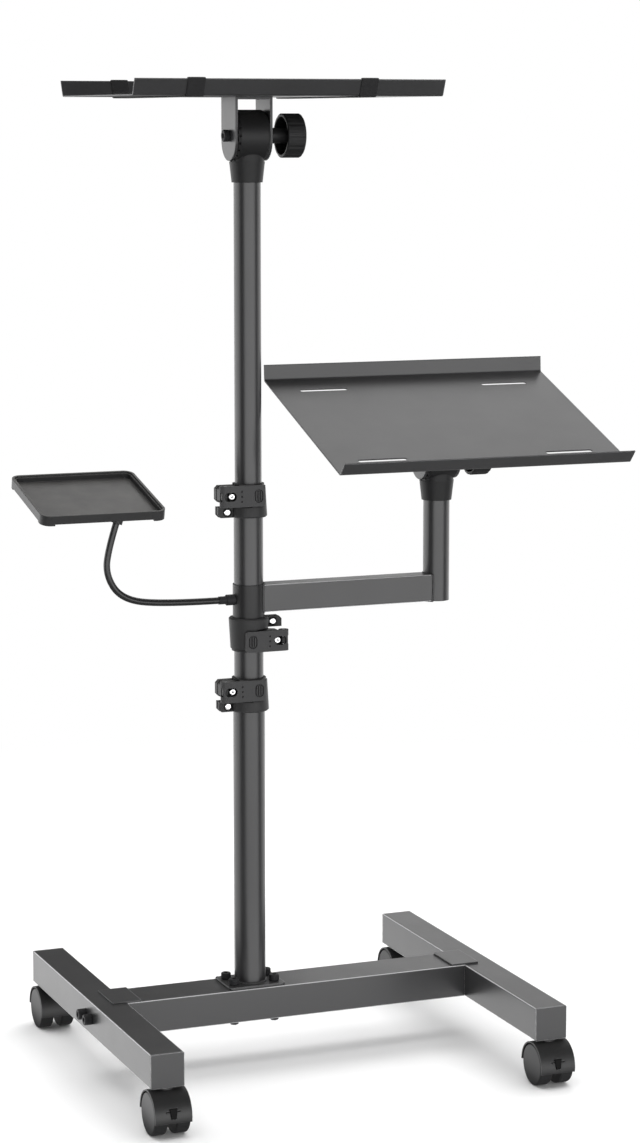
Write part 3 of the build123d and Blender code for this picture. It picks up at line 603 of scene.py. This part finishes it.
# %% Bolts of the side bars
BOLT_R, KEY_WIDTH = 0.004, 0.006
BAR_HEAD_D, BAR_HEAD_LENGTH, BAR_KNURLS = 0.013, 0.010, 28


def corners_of(node):
    """Lowest and highest corner of a CAD node at rest, as an array of two rows."""
    return np.array([list(corner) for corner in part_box(node)])


def inset(low, high, head_d, count):
    """Places spread evenly from low to high, inset by half a head at both ends."""
    return np.linspace(low + head_d / 2, high - head_d / 2, count)


for side, sign in (("left", -1.0), ("right", 1.0)):
    node = side + "_bar_bolts"
    low, high = corners_of(node)
    outer_x = low[0] + BAR_HEAD_LENGTH if sign < 0 else high[0] - BAR_HEAD_LENGTH
    screw = cap_screw(BOLT_R, high[0] - low[0] - BAR_HEAD_LENGTH, BAR_HEAD_D / 2, BAR_HEAD_LENGTH,
                      KEY_WIDTH, BAR_KNURLS)
    skins = [skin(aimed(screw, (outer_x, y, (low[2] + high[2]) / 2), (sign, 0, 0)))
             for y in inset(low[1], high[1], BAR_HEAD_D, 2)]
    piece = make_piece(side + "_bar_screws", skins, finishes["black_oxide"], "base")
    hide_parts(node)

# %% Pivot bolts
PIVOT_HEAD_D, PIVOT_HEAD_HEIGHT, PIVOT_KNURLS = 0.014, 0.007, 30

for side in ("projector", "laptop"):
    node = side + "_pivot_bolt"
    low, high = corners_of(node)
    seat = joint_at[side + "_tilt"] * (0, 1, 1) + (low[0] + PIVOT_HEAD_HEIGHT, 0, 0)
    screw = cap_screw(BOLT_R, high[0] - low[0] - PIVOT_HEAD_HEIGHT, PIVOT_HEAD_D / 2,
                      PIVOT_HEAD_HEIGHT, KEY_WIDTH, PIVOT_KNURLS)
    piece = make_piece(side + "_pivot_screw", [skin(aimed(screw, seat, (-1, 0, 0)))],
                       finishes["black_oxide"], side + "_platform")
    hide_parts(node)

# %% [markdown]
# ## Gooseneck
# The dish sits on a bendable metal core in a smooth sheath. A curve object with a bevel would do,
# but its bend would be the CAD's runs and arcs. A quadratic spline through the middles of the
# route's runs is smoother: each piece of it is (1-t)^2 a + 2t(1-t) b + t^2 c, and a circle is
# carried along it in a frame that never twists, because the whole neck lies in one upright plane.

# %% Sheathed neck
NECK_R, NECK_STEPS, NECK_COLUMNS = 0.004, 24, 32
NECK_ROUTE = np.array([(-0.12475, 0.5676), (-0.19775, 0.5676), (-0.24675, 0.5766),
                       (-0.26575, 0.6076), (-0.26075, 0.6396), (-0.25175, 0.6666)])  # x and z


def spline(route, steps):
    """A quadratic spline: runs from middle to middle of the route's legs, corners as controls."""
    middles = (route[1:-2] + route[2:-1]) / 2
    starts, ends = np.vstack((route[:1], middles)), np.vstack((middles, route[-1:]))
    t = np.linspace(0, 1, steps, endpoint=False)[None, :, None]
    bend = 2 * t * (1 - t) * route[1:-1, None]
    curve = (1 - t) ** 2 * starts[:, None] + bend + t ** 2 * ends[:, None]
    return np.vstack((curve.reshape(-1, 2), route[-1:]))


def carried(line, rise, at=(0.0, 0.0)):
    """A section carried along a flat line: line + rise n, with n the tangent turned a quarter."""
    tangent = unit(np.gradient(line, axis=0))
    first = at[0] + line[:, :1] - tangent[:, 1:] * rise
    second = at[1] + line[:, 1:] + tangent[:, :1] * rise
    return first, second


angle = round_turn(NECK_COLUMNS)
neck_y = corners_of("gooseneck")[:, 1].sum() / 2 + NECK_R * np.sin(angle)
x, z = carried(spline(NECK_ROUTE, NECK_STEPS), NECK_R * np.cos(angle))
neck_grid = np.stack((x, np.broadcast_to(neck_y, x.shape), z), axis=-1)
neck = make_piece("gooseneck_sheath", [skin(neck_grid)], finishes["neck_sheath"], "arm")
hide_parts("gooseneck")

# %% [markdown]
# ## Column bolts
# Four bolts hold the column's foot plate, with nuts under the crossbar. The nuts could be cut
# from a six-sided cylinder. Here a nut is a closed ring profile, turned like the screws, whose
# radius follows the hexagon outside the bore, so that both are made by the same helper.

# %% Column bolts
COLUMN_HEAD_D, COLUMN_HEAD_HEIGHT, COLUMN_KNURLS, COLUMN_KEY = 0.012, 0.008, 24, 0.005
PLATE_TOP = 0.098
NUT_ACROSS, NUT_BORE_R, NUT_HEIGHT, NUT_COLUMNS = 0.0095, 0.0038, 0.006, 48
NUT_FLAT, NUT_SLOPE = 0.90, 0.12  # shares of half the width and of the height


def hex_nut(across, bore_r, height):
    """A ring about local Z, from the bore round the chamfered side, with the side a hexagon."""
    side, flat, slope = across / 2, NUT_FLAT * across / 2, NUT_SLOPE * height
    ring = along([(bore_r, 0), (flat, 0), (side, slope), (side, height - slope), (flat, height),
                  (bore_r, height)], [1, 1, 1, 1, 1])

    def shape(angle, radius):
        return np.where(radius > bore_r, radius / side * hexagon(angle, across), radius)

    return turned(ring, NUT_COLUMNS, shape)


low, high = corners_of("column_bolts")
screw = cap_screw(BOLT_R, PLATE_TOP - low[2], COLUMN_HEAD_D / 2, COLUMN_HEAD_HEIGHT, COLUMN_KEY,
                  COLUMN_KNURLS)
nut = hex_nut(NUT_ACROSS, NUT_BORE_R, NUT_HEIGHT)
skins = []
for x in inset(low[0], high[0], COLUMN_HEAD_D, 2):
    for y in inset(low[1], high[1], COLUMN_HEAD_D, 2):
        skins.append(skin(screw + (x, y, PLATE_TOP)))
        skins.append(skin(nut + (x, y, low[2]), ring=True))
piece = make_piece("column_screws", skins, finishes["black_oxide"], "base")
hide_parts("column_bolts")

# %% [markdown]
# ## Clamp screws
# Each lever clamp has a low screw that fixes its collar, the bolt that the lever draws, seen
# through the lever's window, and the lever's hinge pin. The heads could be bevelled cylinders,
# but a lathe profile gives the domed crown and the socket in one closed surface. The arm's clamp
# hangs upside down, so there the same grids are turned over.

# %% Pan screw
PAN_TIP_R, PAN_TIP_LENGTH = 0.8, 0.3  # shares of the shank's radius
PAN_LOW_R, PAN_LIP, PAN_WELL, PAN_MIDDLE = 0.95, 0.05, 0.45, 0.08  # shares of the head's radius
DOME_FLAT, DOME_ROUND, DOME_POINTS = 0.55, 0.45, 9  # shares of the head's radius
PAN_FLOOR, PAN_DEEP, PAN_STEP = 0.4, 0.36, 0.0001  # shares of the head's height, and a step in m
PAN_COLUMNS = 72


def pan_screw(shank_r, shank_length, head_r, head_height, crown, socket):
    """A round-topped screw: shank, rim, a quarter ellipse for the crown, and a hexagon socket."""
    well_r = PAN_WELL * head_r
    outer = along([(PAN_TIP_R * shank_r, -shank_length),
                   (shank_r, -shank_length + PAN_TIP_LENGTH * shank_r), (shank_r, 0),
                   (PAN_LOW_R * head_r, 0), (head_r, PAN_LIP * head_r),
                   (head_r, head_height - crown)], [1, 4, 2, 1, 4])
    turn = np.linspace(0, pi / 2, DOME_POINTS)[1:]
    dome = np.column_stack((head_r * (DOME_FLAT + DOME_ROUND * np.cos(turn)),
                            head_height - crown * (1 - np.sin(turn))))
    well = along([(well_r, head_height - PAN_STEP), (well_r, PAN_FLOOR * head_height),
                  (PAN_MIDDLE * head_r, PAN_DEEP * head_height)], [3, 2])
    return socketed(np.vstack((outer, dome)), well, socket, PAN_COLUMNS)


print("pan screw: socket rim at", PAN_WELL, "of the head's radius")

# %% Clamp screws
# places are measured from the column's axis and from the foot of the clamp
SCREW_X, SCREW_R, SCREW_HEAD_R, SCREW_CROWN, SCREW_KEY = -0.0286, 0.0025, 0.0042, 0.0011, 0.003
FIXED_Z, FIXED_SEAT, FIXED_LENGTH, FIXED_HEAD = 0.0065, -0.004, 0.0095, 0.0025
CAM_Z, CAM_SEAT, CAM_LENGTH, CAM_HEAD = 0.027, -0.0125, 0.022, 0.010
CAM_NUT_SEAT, CAM_NUT_ACROSS, CAM_NUT_BORE_R, CAM_NUT_HEIGHT = 0.0095, 0.0072, 0.0024, 0.0025
PIN_AT, PIN_R, PIN_LOW, PIN_HIGH = (-0.037, -0.0195, 0.0), 0.002, 0.0144, 0.0396
PIN_EDGE, PIN_FACE_R, PIN_MIDDLE_R, PIN_COLUMNS = 0.0004, 0.8 * PIN_R, 0.0006, 32
CLAMPS = (  # name, body, foot and way up
    ("lower", "base", 0.433, 1.0),
    ("upper", "middle_stage", 0.667, 1.0),
    ("arm", "arm_collar", 0.546, -1.0),
)


def clamp_screw(length, head, seat, z):
    """A pan screw with its head to the front, seated at a place of the clamp."""
    screw = pan_screw(SCREW_R, length, SCREW_HEAD_R, head, SCREW_CROWN, SCREW_KEY)
    return aimed(screw, (SCREW_X, seat, z), (0, -1, 0))


fixed = clamp_screw(FIXED_LENGTH, FIXED_HEAD, FIXED_SEAT, FIXED_Z)
drawn = clamp_screw(CAM_LENGTH, CAM_HEAD, CAM_SEAT, CAM_Z)
back_nut = aimed(hex_nut(CAM_NUT_ACROSS, CAM_NUT_BORE_R, CAM_NUT_HEIGHT),
                 (SCREW_X, CAM_NUT_SEAT, CAM_Z), (0, 1, 0))
pin = turned(along([(PIN_MIDDLE_R, PIN_LOW), (PIN_FACE_R, PIN_LOW), (PIN_R, PIN_LOW + PIN_EDGE),
                    (PIN_R, PIN_HIGH - PIN_EDGE), (PIN_FACE_R, PIN_HIGH),
                    (PIN_MIDDLE_R, PIN_HIGH)], [1, 1, 6, 1, 1]), PIN_COLUMNS) + PIN_AT
post = corners_of("lower_tube").sum(axis=0) / 2 * (1, 1, 0)
for clamp, body, foot_z, way in CLAMPS:
    turned_over, at = np.array((way, 1.0, way)), post + (0, 0, foot_z)
    skins = [skin(grid * turned_over + at) for grid in (fixed, drawn, pin)]
    skins.append(skin(back_nut * turned_over + at, ring=True))
    piece = make_piece(clamp + "_clamp_fixings", skins, finishes["bright_zinc"], body)
    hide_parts(clamp + "_clamp_screws")

# %% [markdown]
# ## Welds
# The column's foot is welded to its plate, and the box arm to the sleeve and the riser, before
# the stand is painted. A weld bead can be drawn with a curve bevel. Here it is a circle carried
# round a closed path, with its radius swelling and shrinking along the way, r (1 + 0.1 cos n s),
# which gives the small scales of a hand-made bead.

# %% Bead and saddle
BEAD_R, BEAD_COLUMNS, SCALE_LENGTH, SCALE_SWELL = 0.0014, 10, 0.0022, 0.10


def bead(path, axis, radius):
    """A tube round a closed path; across the tangent t it spans t x axis and t x (t x axis)."""
    tangent = unit(np.roll(path, -1, axis=0) - np.roll(path, 1, axis=0))
    side = unit(np.cross(tangent, axis))
    other = np.cross(tangent, side)
    steps = np.linalg.norm(np.roll(path, -1, axis=0) - path, axis=1)
    count = round(steps.sum() / SCALE_LENGTH)
    wave = np.cos(2 * pi * count * np.cumsum(steps) / steps.sum())
    swell = radius * (1 + SCALE_SWELL * wave)[:, None, None]
    angle = round_turn(BEAD_COLUMNS)[None, :, None]
    return path[:, None] + swell * (np.cos(angle) * side[:, None] + np.sin(angle) * other[:, None])


def saddle(centre, pipe_r, low, high, corner, way, count):
    """A round-cornered rectangle in y and z laid on an upright pipe: x = way sqrt(R^2 - y^2)."""
    turn = round_turn(count)
    flat = np.column_stack((np.cos(turn), np.sin(turn)))
    reach = (high - low)[1:] / 2 - corner
    share = np.minimum(1, np.abs(flat) / np.abs(flat).max(axis=1)[:, None])
    ring = np.sign(flat) * reach * share + corner * flat
    x = centre[0] + way * np.sqrt(pipe_r ** 2 - ring[:, 0] ** 2)
    return np.column_stack((x, centre[1] + ring[:, 0], (low[2] + high[2]) / 2 + ring[:, 1]))


print("a bead is", 2 * BEAD_R, "m thick")

# %% Weld beads
COLUMN_WELD_R, RISER_WELD_R, ARM_CORNER = 0.0191, 0.0161, 0.0015
FOOT_BEAD, FOOT_STEPS, ARM_STEPS = 1.3 * BEAD_R, 480, 600

turn = round_turn(FOOT_STEPS)
foot = np.column_stack((post[0] + COLUMN_WELD_R * np.cos(turn),
                        post[1] + COLUMN_WELD_R * np.sin(turn), np.full(FOOT_STEPS, PLATE_TOP)))
make_piece("foot_weld", [skin(bead(foot, (0, 0, 1), FOOT_BEAD), ring=True)],
           finishes["powder_coat"], "base")
arm_low, arm_high = corners_of("laptop_arm")
riser = corners_of("laptop_riser").sum(axis=0) / 2
ends = [saddle(centre, pipe_r, arm_low, arm_high, ARM_CORNER, way, ARM_STEPS)
        for centre, pipe_r, way in ((post, COLUMN_WELD_R, 1.0), (riser, RISER_WELD_R, -1.0))]
make_piece("arm_welds", [skin(bead(end, (1, 0, 0), BEAD_R), ring=True) for end in ends],
           finishes["powder_coat"], "arm")

# %% [markdown]
# ## Straps
# Two black elastic straps go round the top tray, outside its lips and under it, to hold what
# stands there. With nothing on the tray they lie on its floor. Cloth simulation would blur so
# thin a strip, so it is made directly: a flat section with round edges is carried along a spline
# that follows the folded sheet at a small distance, and the strap's own end lies over its
# beginning on the tray's floor. A pair of coordinates, along and across, is kept on the points
# for the weave.

# %% Strap route
# places are y and z, measured from the tray's pivot
STRAP_WIDTH, STRAP_THICK, STRAP_GAP = 0.021, 0.0012, 0.0003
TRAY_HALF, TRAY_LOW, TRAY_SHEET = 0.131, 0.045, 0.0015
LIP_RISE, LIP_LEAN = 0.0185, radians(23.0)
CORNER_TIP, CORNER_NEAR, CORNER_WIDE = 0.002, 0.004, 0.009
LAP_START, LAP_END, LAP_OVER = (0.010, 0.040), (-0.030, -0.012), (0.002, 0.020, 0.062)
ROUTE_STEPS = 10


def strap_route(off):
    """Corners of the sheet's outline moved outwards by off, with points that keep runs straight."""
    c, s = cos(LIP_LEAN), sin(LIP_LEAN)
    tip = np.array((TRAY_HALF + LIP_RISE * s / c, TRAY_LOW + LIP_RISE))
    inner = tip + TRAY_SHEET * np.array((-c, s))
    heel = np.array((TRAY_HALF + off * c - off * (1 - s) / c * s, TRAY_LOW - off))
    outer_tip = tip + off * np.array((c + s, c - s))
    inner_tip = inner + off * np.array((s - c, c + s))
    floor = TRAY_LOW + TRAY_SHEET + off
    down = (inner[1] + off * s - floor) / c
    nook = np.array((inner[0] - off * c - down * s, floor))
    lean, level = np.array((s, c)), np.array((1.0, 0.0))
    rear = np.array([nook - CORNER_WIDE * level, nook, nook + CORNER_WIDE * lean,
                     inner_tip - CORNER_TIP * lean, inner_tip, outer_tip,
                     outer_tip - CORNER_TIP * lean, heel + CORNER_NEAR * lean, heel,
                     heel - CORNER_NEAR * level])
    front = rear[::-1] * (-1, 1)
    above = floor + STRAP_THICK + STRAP_GAP
    start = [(y, floor) for y in LAP_START]
    end = [(y, floor) for y in LAP_END] + [(y, above) for y in LAP_OVER]
    return np.vstack((start, rear, front, end))


strap_line = spline(strap_route(STRAP_GAP + STRAP_THICK / 2), ROUTE_STEPS)
strap_run = np.concatenate(([0.0], np.cumsum(np.linalg.norm(np.diff(strap_line, axis=0), axis=1))))
print("strap length", round(float(strap_run[-1]), 3), "m")

# %% Webbing
WARP_PITCH, WEFT_PITCH, WEAVE_DEPTH, WEAVE_BUMP = 0.0021, 0.0017, 0.0004, 0.6
# painted shade in the gaps between yarns, and the yarn's own colour
GAP_SHADE_COLOUR, YARN_COLOUR = (0.005, 0.005, 0.0055), (0.017, 0.017, 0.018)


def woven_webbing():
    """Black webbing: a plain weave's height is 0.5 + 0.5 sin(along) sin(across), with painted shade in its low
    spots.
    """
    material, tree, shader = new_material("woven_webbing", Roughness=0.72, Sheen_Weight=0.12,
                                          Specular_IOR_Level=0.25)
    weave = add(tree, "Attribute", attribute_name="weave").outputs["Vector"]
    parts = add(tree, "SeparateXYZ", {0: weave}).outputs
    warp, weft = (maths(tree, "SINE", maths(tree, "MULTIPLY", part, 2 * pi / pitch))
                  for part, pitch in ((parts["X"], WARP_PITCH), (parts["Y"], WEFT_PITCH)))
    height = maths(tree, "MULTIPLY_ADD", maths(tree, "MULTIPLY", warp, weft), 0.5, 0.5)
    colour = mix_colour(tree, height, GAP_SHADE_COLOUR, YARN_COLOUR)
    bump = add(tree, "Bump", {"Strength": WEAVE_BUMP, "Distance": WEAVE_DEPTH, "Height": height})
    tree.links.new(colour, shader.inputs["Base Color"])
    tree.links.new(bump.outputs["Normal"], shader.inputs["Normal"])
    return material


webbing = woven_webbing()
print("weave pitches", WARP_PITCH, "and", WEFT_PITCH, "m")

# %% Straps
STRAP_X = (-0.19775, 0.01105)
STRAP_COLUMNS, STRAP_SHARP = 48, 60.0
EDGE_POWER, FACE_POWER = 0.25, 0.6


def rounded_wave(values, power):
    """A cosine or sine made squarer: its sign times its size to a power below one."""
    return np.sign(values) * np.abs(values) ** power


turn = round_turn(STRAP_COLUMNS)
across = STRAP_WIDTH / 2 * rounded_wave(np.cos(turn), EDGE_POWER)
thick = STRAP_THICK / 2 * rounded_wave(np.sin(turn), FACE_POWER)
y, z = carried(strap_line, thick, joint_at["projector_tilt"][1:])
run, over = np.meshgrid(strap_run, across, indexing="ij")
weave = np.stack((run, over, np.zeros(run.shape)), axis=-1).reshape(-1, 3)
weave = np.vstack((weave, [(strap_run[0], 0, 0), (strap_run[-1], 0, 0)]))
for side, x in zip(("left", "right"), STRAP_X):
    grid = np.stack((np.broadcast_to(x + across, y.shape), y, z), axis=-1)
    strap = make_piece(side + "_strap", [skin(grid)], webbing, "projector_platform",
                       sharp=STRAP_SHARP)
    on_points = strap.data.attributes.new("weave", "FLOAT_VECTOR", "POINT")
    on_points.data.foreach_set("vector", weave.ravel())

# %% [markdown]
# ## Studio bands
# A dark satin finish is drawn by what it mirrors. The tubes show upright bands: soft boxes on the
# left, in front and on the right, with dark gaps between them. Real boxes would stop short of the
# floor, so the lower tube would lose its bands. Here the bands are a node group that gives a
# brightness for each compass heading, and both the sky and the floor show it to mirrored rays
# only. Lamps without a mirror image do the actual lighting.

# %% Bands by heading
BAND_PEAK = 3.5
# heading in degrees from +X, and share of the peak
BANDS = ((0, 0.50), (45, 0.50), (62, 0.05), (80, 0.05), (97, 0.58), (120, 0.58), (136, 0.80),
         (168, 0.80), (190, 0.01), (213, 0.01), (231, 1.00), (308, 1.00), (324, 0.02),
         (337, 0.02), (350, 0.50))


def bands_group():
    """The angle of (X, Y) as a share of a turn, looked up in a ramp of boxes and gaps."""
    tree, source, result = new_group("studio_bands", {"X": 0.0, "Y": 0.0}, {"Level": "Float"})
    turn = maths(tree, "ARCTAN2", source["Y"], source["X"])
    share = maths(tree, "FRACT", maths(tree, "DIVIDE", turn, 2 * pi))
    ramp = add(tree, "ValToRGB", {"Fac": share})
    stops = ramp.color_ramp.elements
    ramp.color_ramp.interpolation = "EASE"
    stops.remove(stops[1])
    for heading, level in BANDS:
        stop = stops.new(heading / 360) if heading else stops[0]
        stop.color = (level, level, level, 1.0)
    level = maths(tree, "MULTIPLY", ramp.outputs["Color"], BAND_PEAK)
    tree.links.new(level, result["Level"])
    return tree


STUDIO = bands_group()
print("bands:", len(BANDS), "stops")

# %% [markdown]
# ## Floor
# The white surround is a colour, not more light. The floor is a pale diffuse plane near the
# stand, where it takes the shadow, and fades to plain white for camera rays further out. A
# mirror-like floor could carry the bands, but it would double the stand in them. So mirrored rays
# get their own picture of the floor by the length of the ray: shade right under a piece, an even
# pale floor a little further, and the bands beyond. A ray that meets the floor steeply sees the
# dim floor under the stand instead of the bands.

# %% Floor
FLOOR_SIZE = 16.0
FLOOR_COLOUR = (0.92, 0.92, 0.92, 1.0)
WHITE = (1.0, 1.0, 1.0)
CAMERA_FADE = (0.7, 1.9)  # m from the stand
SHADE_LEVEL, NEAR_LEVEL, STEEP_LEVEL = 0.15, 1.9, 0.40
SHADE_TO_NEAR, NEAR_TO_BANDS = (0.02, 0.12), (0.32, 0.62)  # ray lengths in m
STEEP_TO_LOW = (0.60, 0.82)  # from facing the floor to grazing it


def banded(tree, coords):
    """The bands on a coordinate socket, and the three parts of the coordinate."""
    parts = add(tree, "SeparateXYZ", {0: coords}).outputs
    return use_group(tree, STUDIO, X=parts["X"], Y=parts["Y"])["Level"], parts


def ray_kinds(tree):
    """One for glossy and transmitted rays, and the outputs of the Light Path node."""
    paths = add(tree, "LightPath").outputs
    return maths(tree, "MAXIMUM", paths["Is Glossy Ray"], paths["Is Transmission Ray"]), paths


def floor_material():
    """Pale and diffuse; white to the camera further out; shade, pale or bands in mirrored rays."""
    material, tree, pale = new_material("pale_floor", Base_Color=FLOOR_COLOUR, Roughness=0.9,
                                        Specular_IOR_Level=0.0)
    coords = add(tree, "TexCoord").outputs["Object"]
    reach = add(tree, "VectorMath", {0: coords}, operation="LENGTH").outputs["Value"]
    bands, _ = banded(tree, coords)
    mirrored, paths = ray_kinds(tree)
    length, facing = paths["Ray Length"], add(tree, "LayerWeight").outputs["Facing"]
    near = mix_colour(tree, graded(tree, length, SHADE_TO_NEAR),
                      (SHADE_LEVEL,) * 3, (NEAR_LEVEL,) * 3)
    far = mix_colour(tree, graded(tree, facing, STEEP_TO_LOW), (STEEP_LEVEL,) * 3, bands)
    in_mirror = mix_colour(tree, graded(tree, length, NEAR_TO_BANDS), near, far)
    # the floor glows: white to the camera further out, and to mirrored rays a painted reflection with painted
    # shade under the stand
    white = add(tree, "Emission", {"Color": mix_colour(tree, mirrored, WHITE, in_mirror)})
    in_view = maths(tree, "MULTIPLY", graded(tree, reach, CAMERA_FADE), paths["Is Camera Ray"])
    blend = add(tree, "MixShader", {0: maths(tree, "MAXIMUM", in_view, mirrored),
                                    1: pale.outputs[0], 2: white.outputs[0]})
    tree.links.new(blend.outputs[0], tree.nodes["Material Output"].inputs["Surface"])
    return material


half = FLOOR_SIZE / 2
floor_corners = [(-half, -half, 0), (half, -half, 0), (half, half, 0), (-half, half, 0)]
floor_mesh = bpy.data.meshes.new("floor")
floor_mesh.from_pydata(floor_corners, [], [(0, 1, 2, 3)])
floor_mesh.materials.append(floor_material())
floor = place("floor", floor_mesh)
print("floor", FLOOR_SIZE, "m wide")

# %% [markdown]
# ## Surround
# The world is the sheet of paper behind the stand. A white room would light the stand from all
# sides and wash out its dark finish, so the world is white to the camera alone. Diffuse rays get
# an even grey, and mirrored rays the bands, which end a little above the horizon.

# %% Surround
AMBIENT, DIM_SKY = 0.30, 0.10
BANDS_TO_SKY = (0.08, 0.26)


def surround():
    """White to the camera, an even grey to diffuse rays, and the bands to mirrored rays."""
    world = bpy.data.worlds.new("studio")
    world.use_nodes = True
    tree = world.node_tree
    tree.nodes.clear()
    bands, parts = banded(tree, add(tree, "TexCoord").outputs["Generated"])
    mirrored, paths = ray_kinds(tree)
    in_mirror = mix_colour(tree, graded(tree, parts["Z"], BANDS_TO_SKY), bands, (DIM_SKY,) * 3)
    lit = mix_colour(tree, mirrored, (AMBIENT,) * 3, in_mirror)
    sky = add(tree, "Background", {"Color": mix_colour(tree, paths["Is Camera Ray"], lit, WHITE)})
    add(tree, "OutputWorld", {"Surface": sky.outputs[0]})
    return world


scene.world = surround()
print("surround white to the camera,", AMBIENT, "to diffuse rays")

# %% [markdown]
# ## Soft boxes
# Large lamps on three sides and overhead give plain soft studio light, and two smaller cards that
# do show in mirrors draw the sheen on the trays and at the rear of the base. Point lamps would be
# quicker to set up but give hard shadows. A lamp's power is pi x area x radiance, so that a box
# keeps its brightness when its size changes.

# %% Soft boxes
SOFT_BOXES = (  # name, heading, rise, distance, middle, width, height, radiance, in mirrors
    ("left_box", 140.0, 0.0, 3.0, 1.2, 4.2, 2.3, 1.6, False),
    ("front_box", 282.0, 0.0, 3.6, 1.2, 4.2, 2.3, 2.0, False),
    ("right_box", 14.0, 0.0, 3.0, 1.2, 2.0, 2.3, 2.0, False),
    ("rear_card", 62.0, 0.0, 3.1, 0.8, 0.9, 1.1, 1.0, True),
    ("tray_card", 52.0, 42.0, 3.2, 0.75, 2.6, 1.7, 1.5, True),
)
OVERHEAD_AT, OVERHEAD_SIDE, OVERHEAD_RADIANCE = (0.3, 0.2, 3.3), 4.6, 2.1


def soft_box(name, axes, at, width, height, radiance, in_mirror):
    """A rectangular lamp that faces along its own -Z."""
    lamp = bpy.data.lights.new(name, "AREA")
    lamp.shape = "RECTANGLE"
    lamp.size, lamp.size_y = width, height
    lamp.energy = pi * width * height * radiance
    box = place(name, lamp, axes, at)
    box.visible_camera = False
    box.visible_glossy = in_mirror


for name, heading, rise, distance, middle, *rest in SOFT_BOXES:
    axes = look(radians(heading + 90.0), radians(rise))
    soft_box(name, axes, axes[:, 2] * distance + (0, 0, middle), *rest)
soft_box("overhead_box", np.eye(3), OVERHEAD_AT, OVERHEAD_SIDE, OVERHEAD_SIDE, OVERHEAD_RADIANCE,
         False)
print("soft boxes:", len(bpy.data.lights))
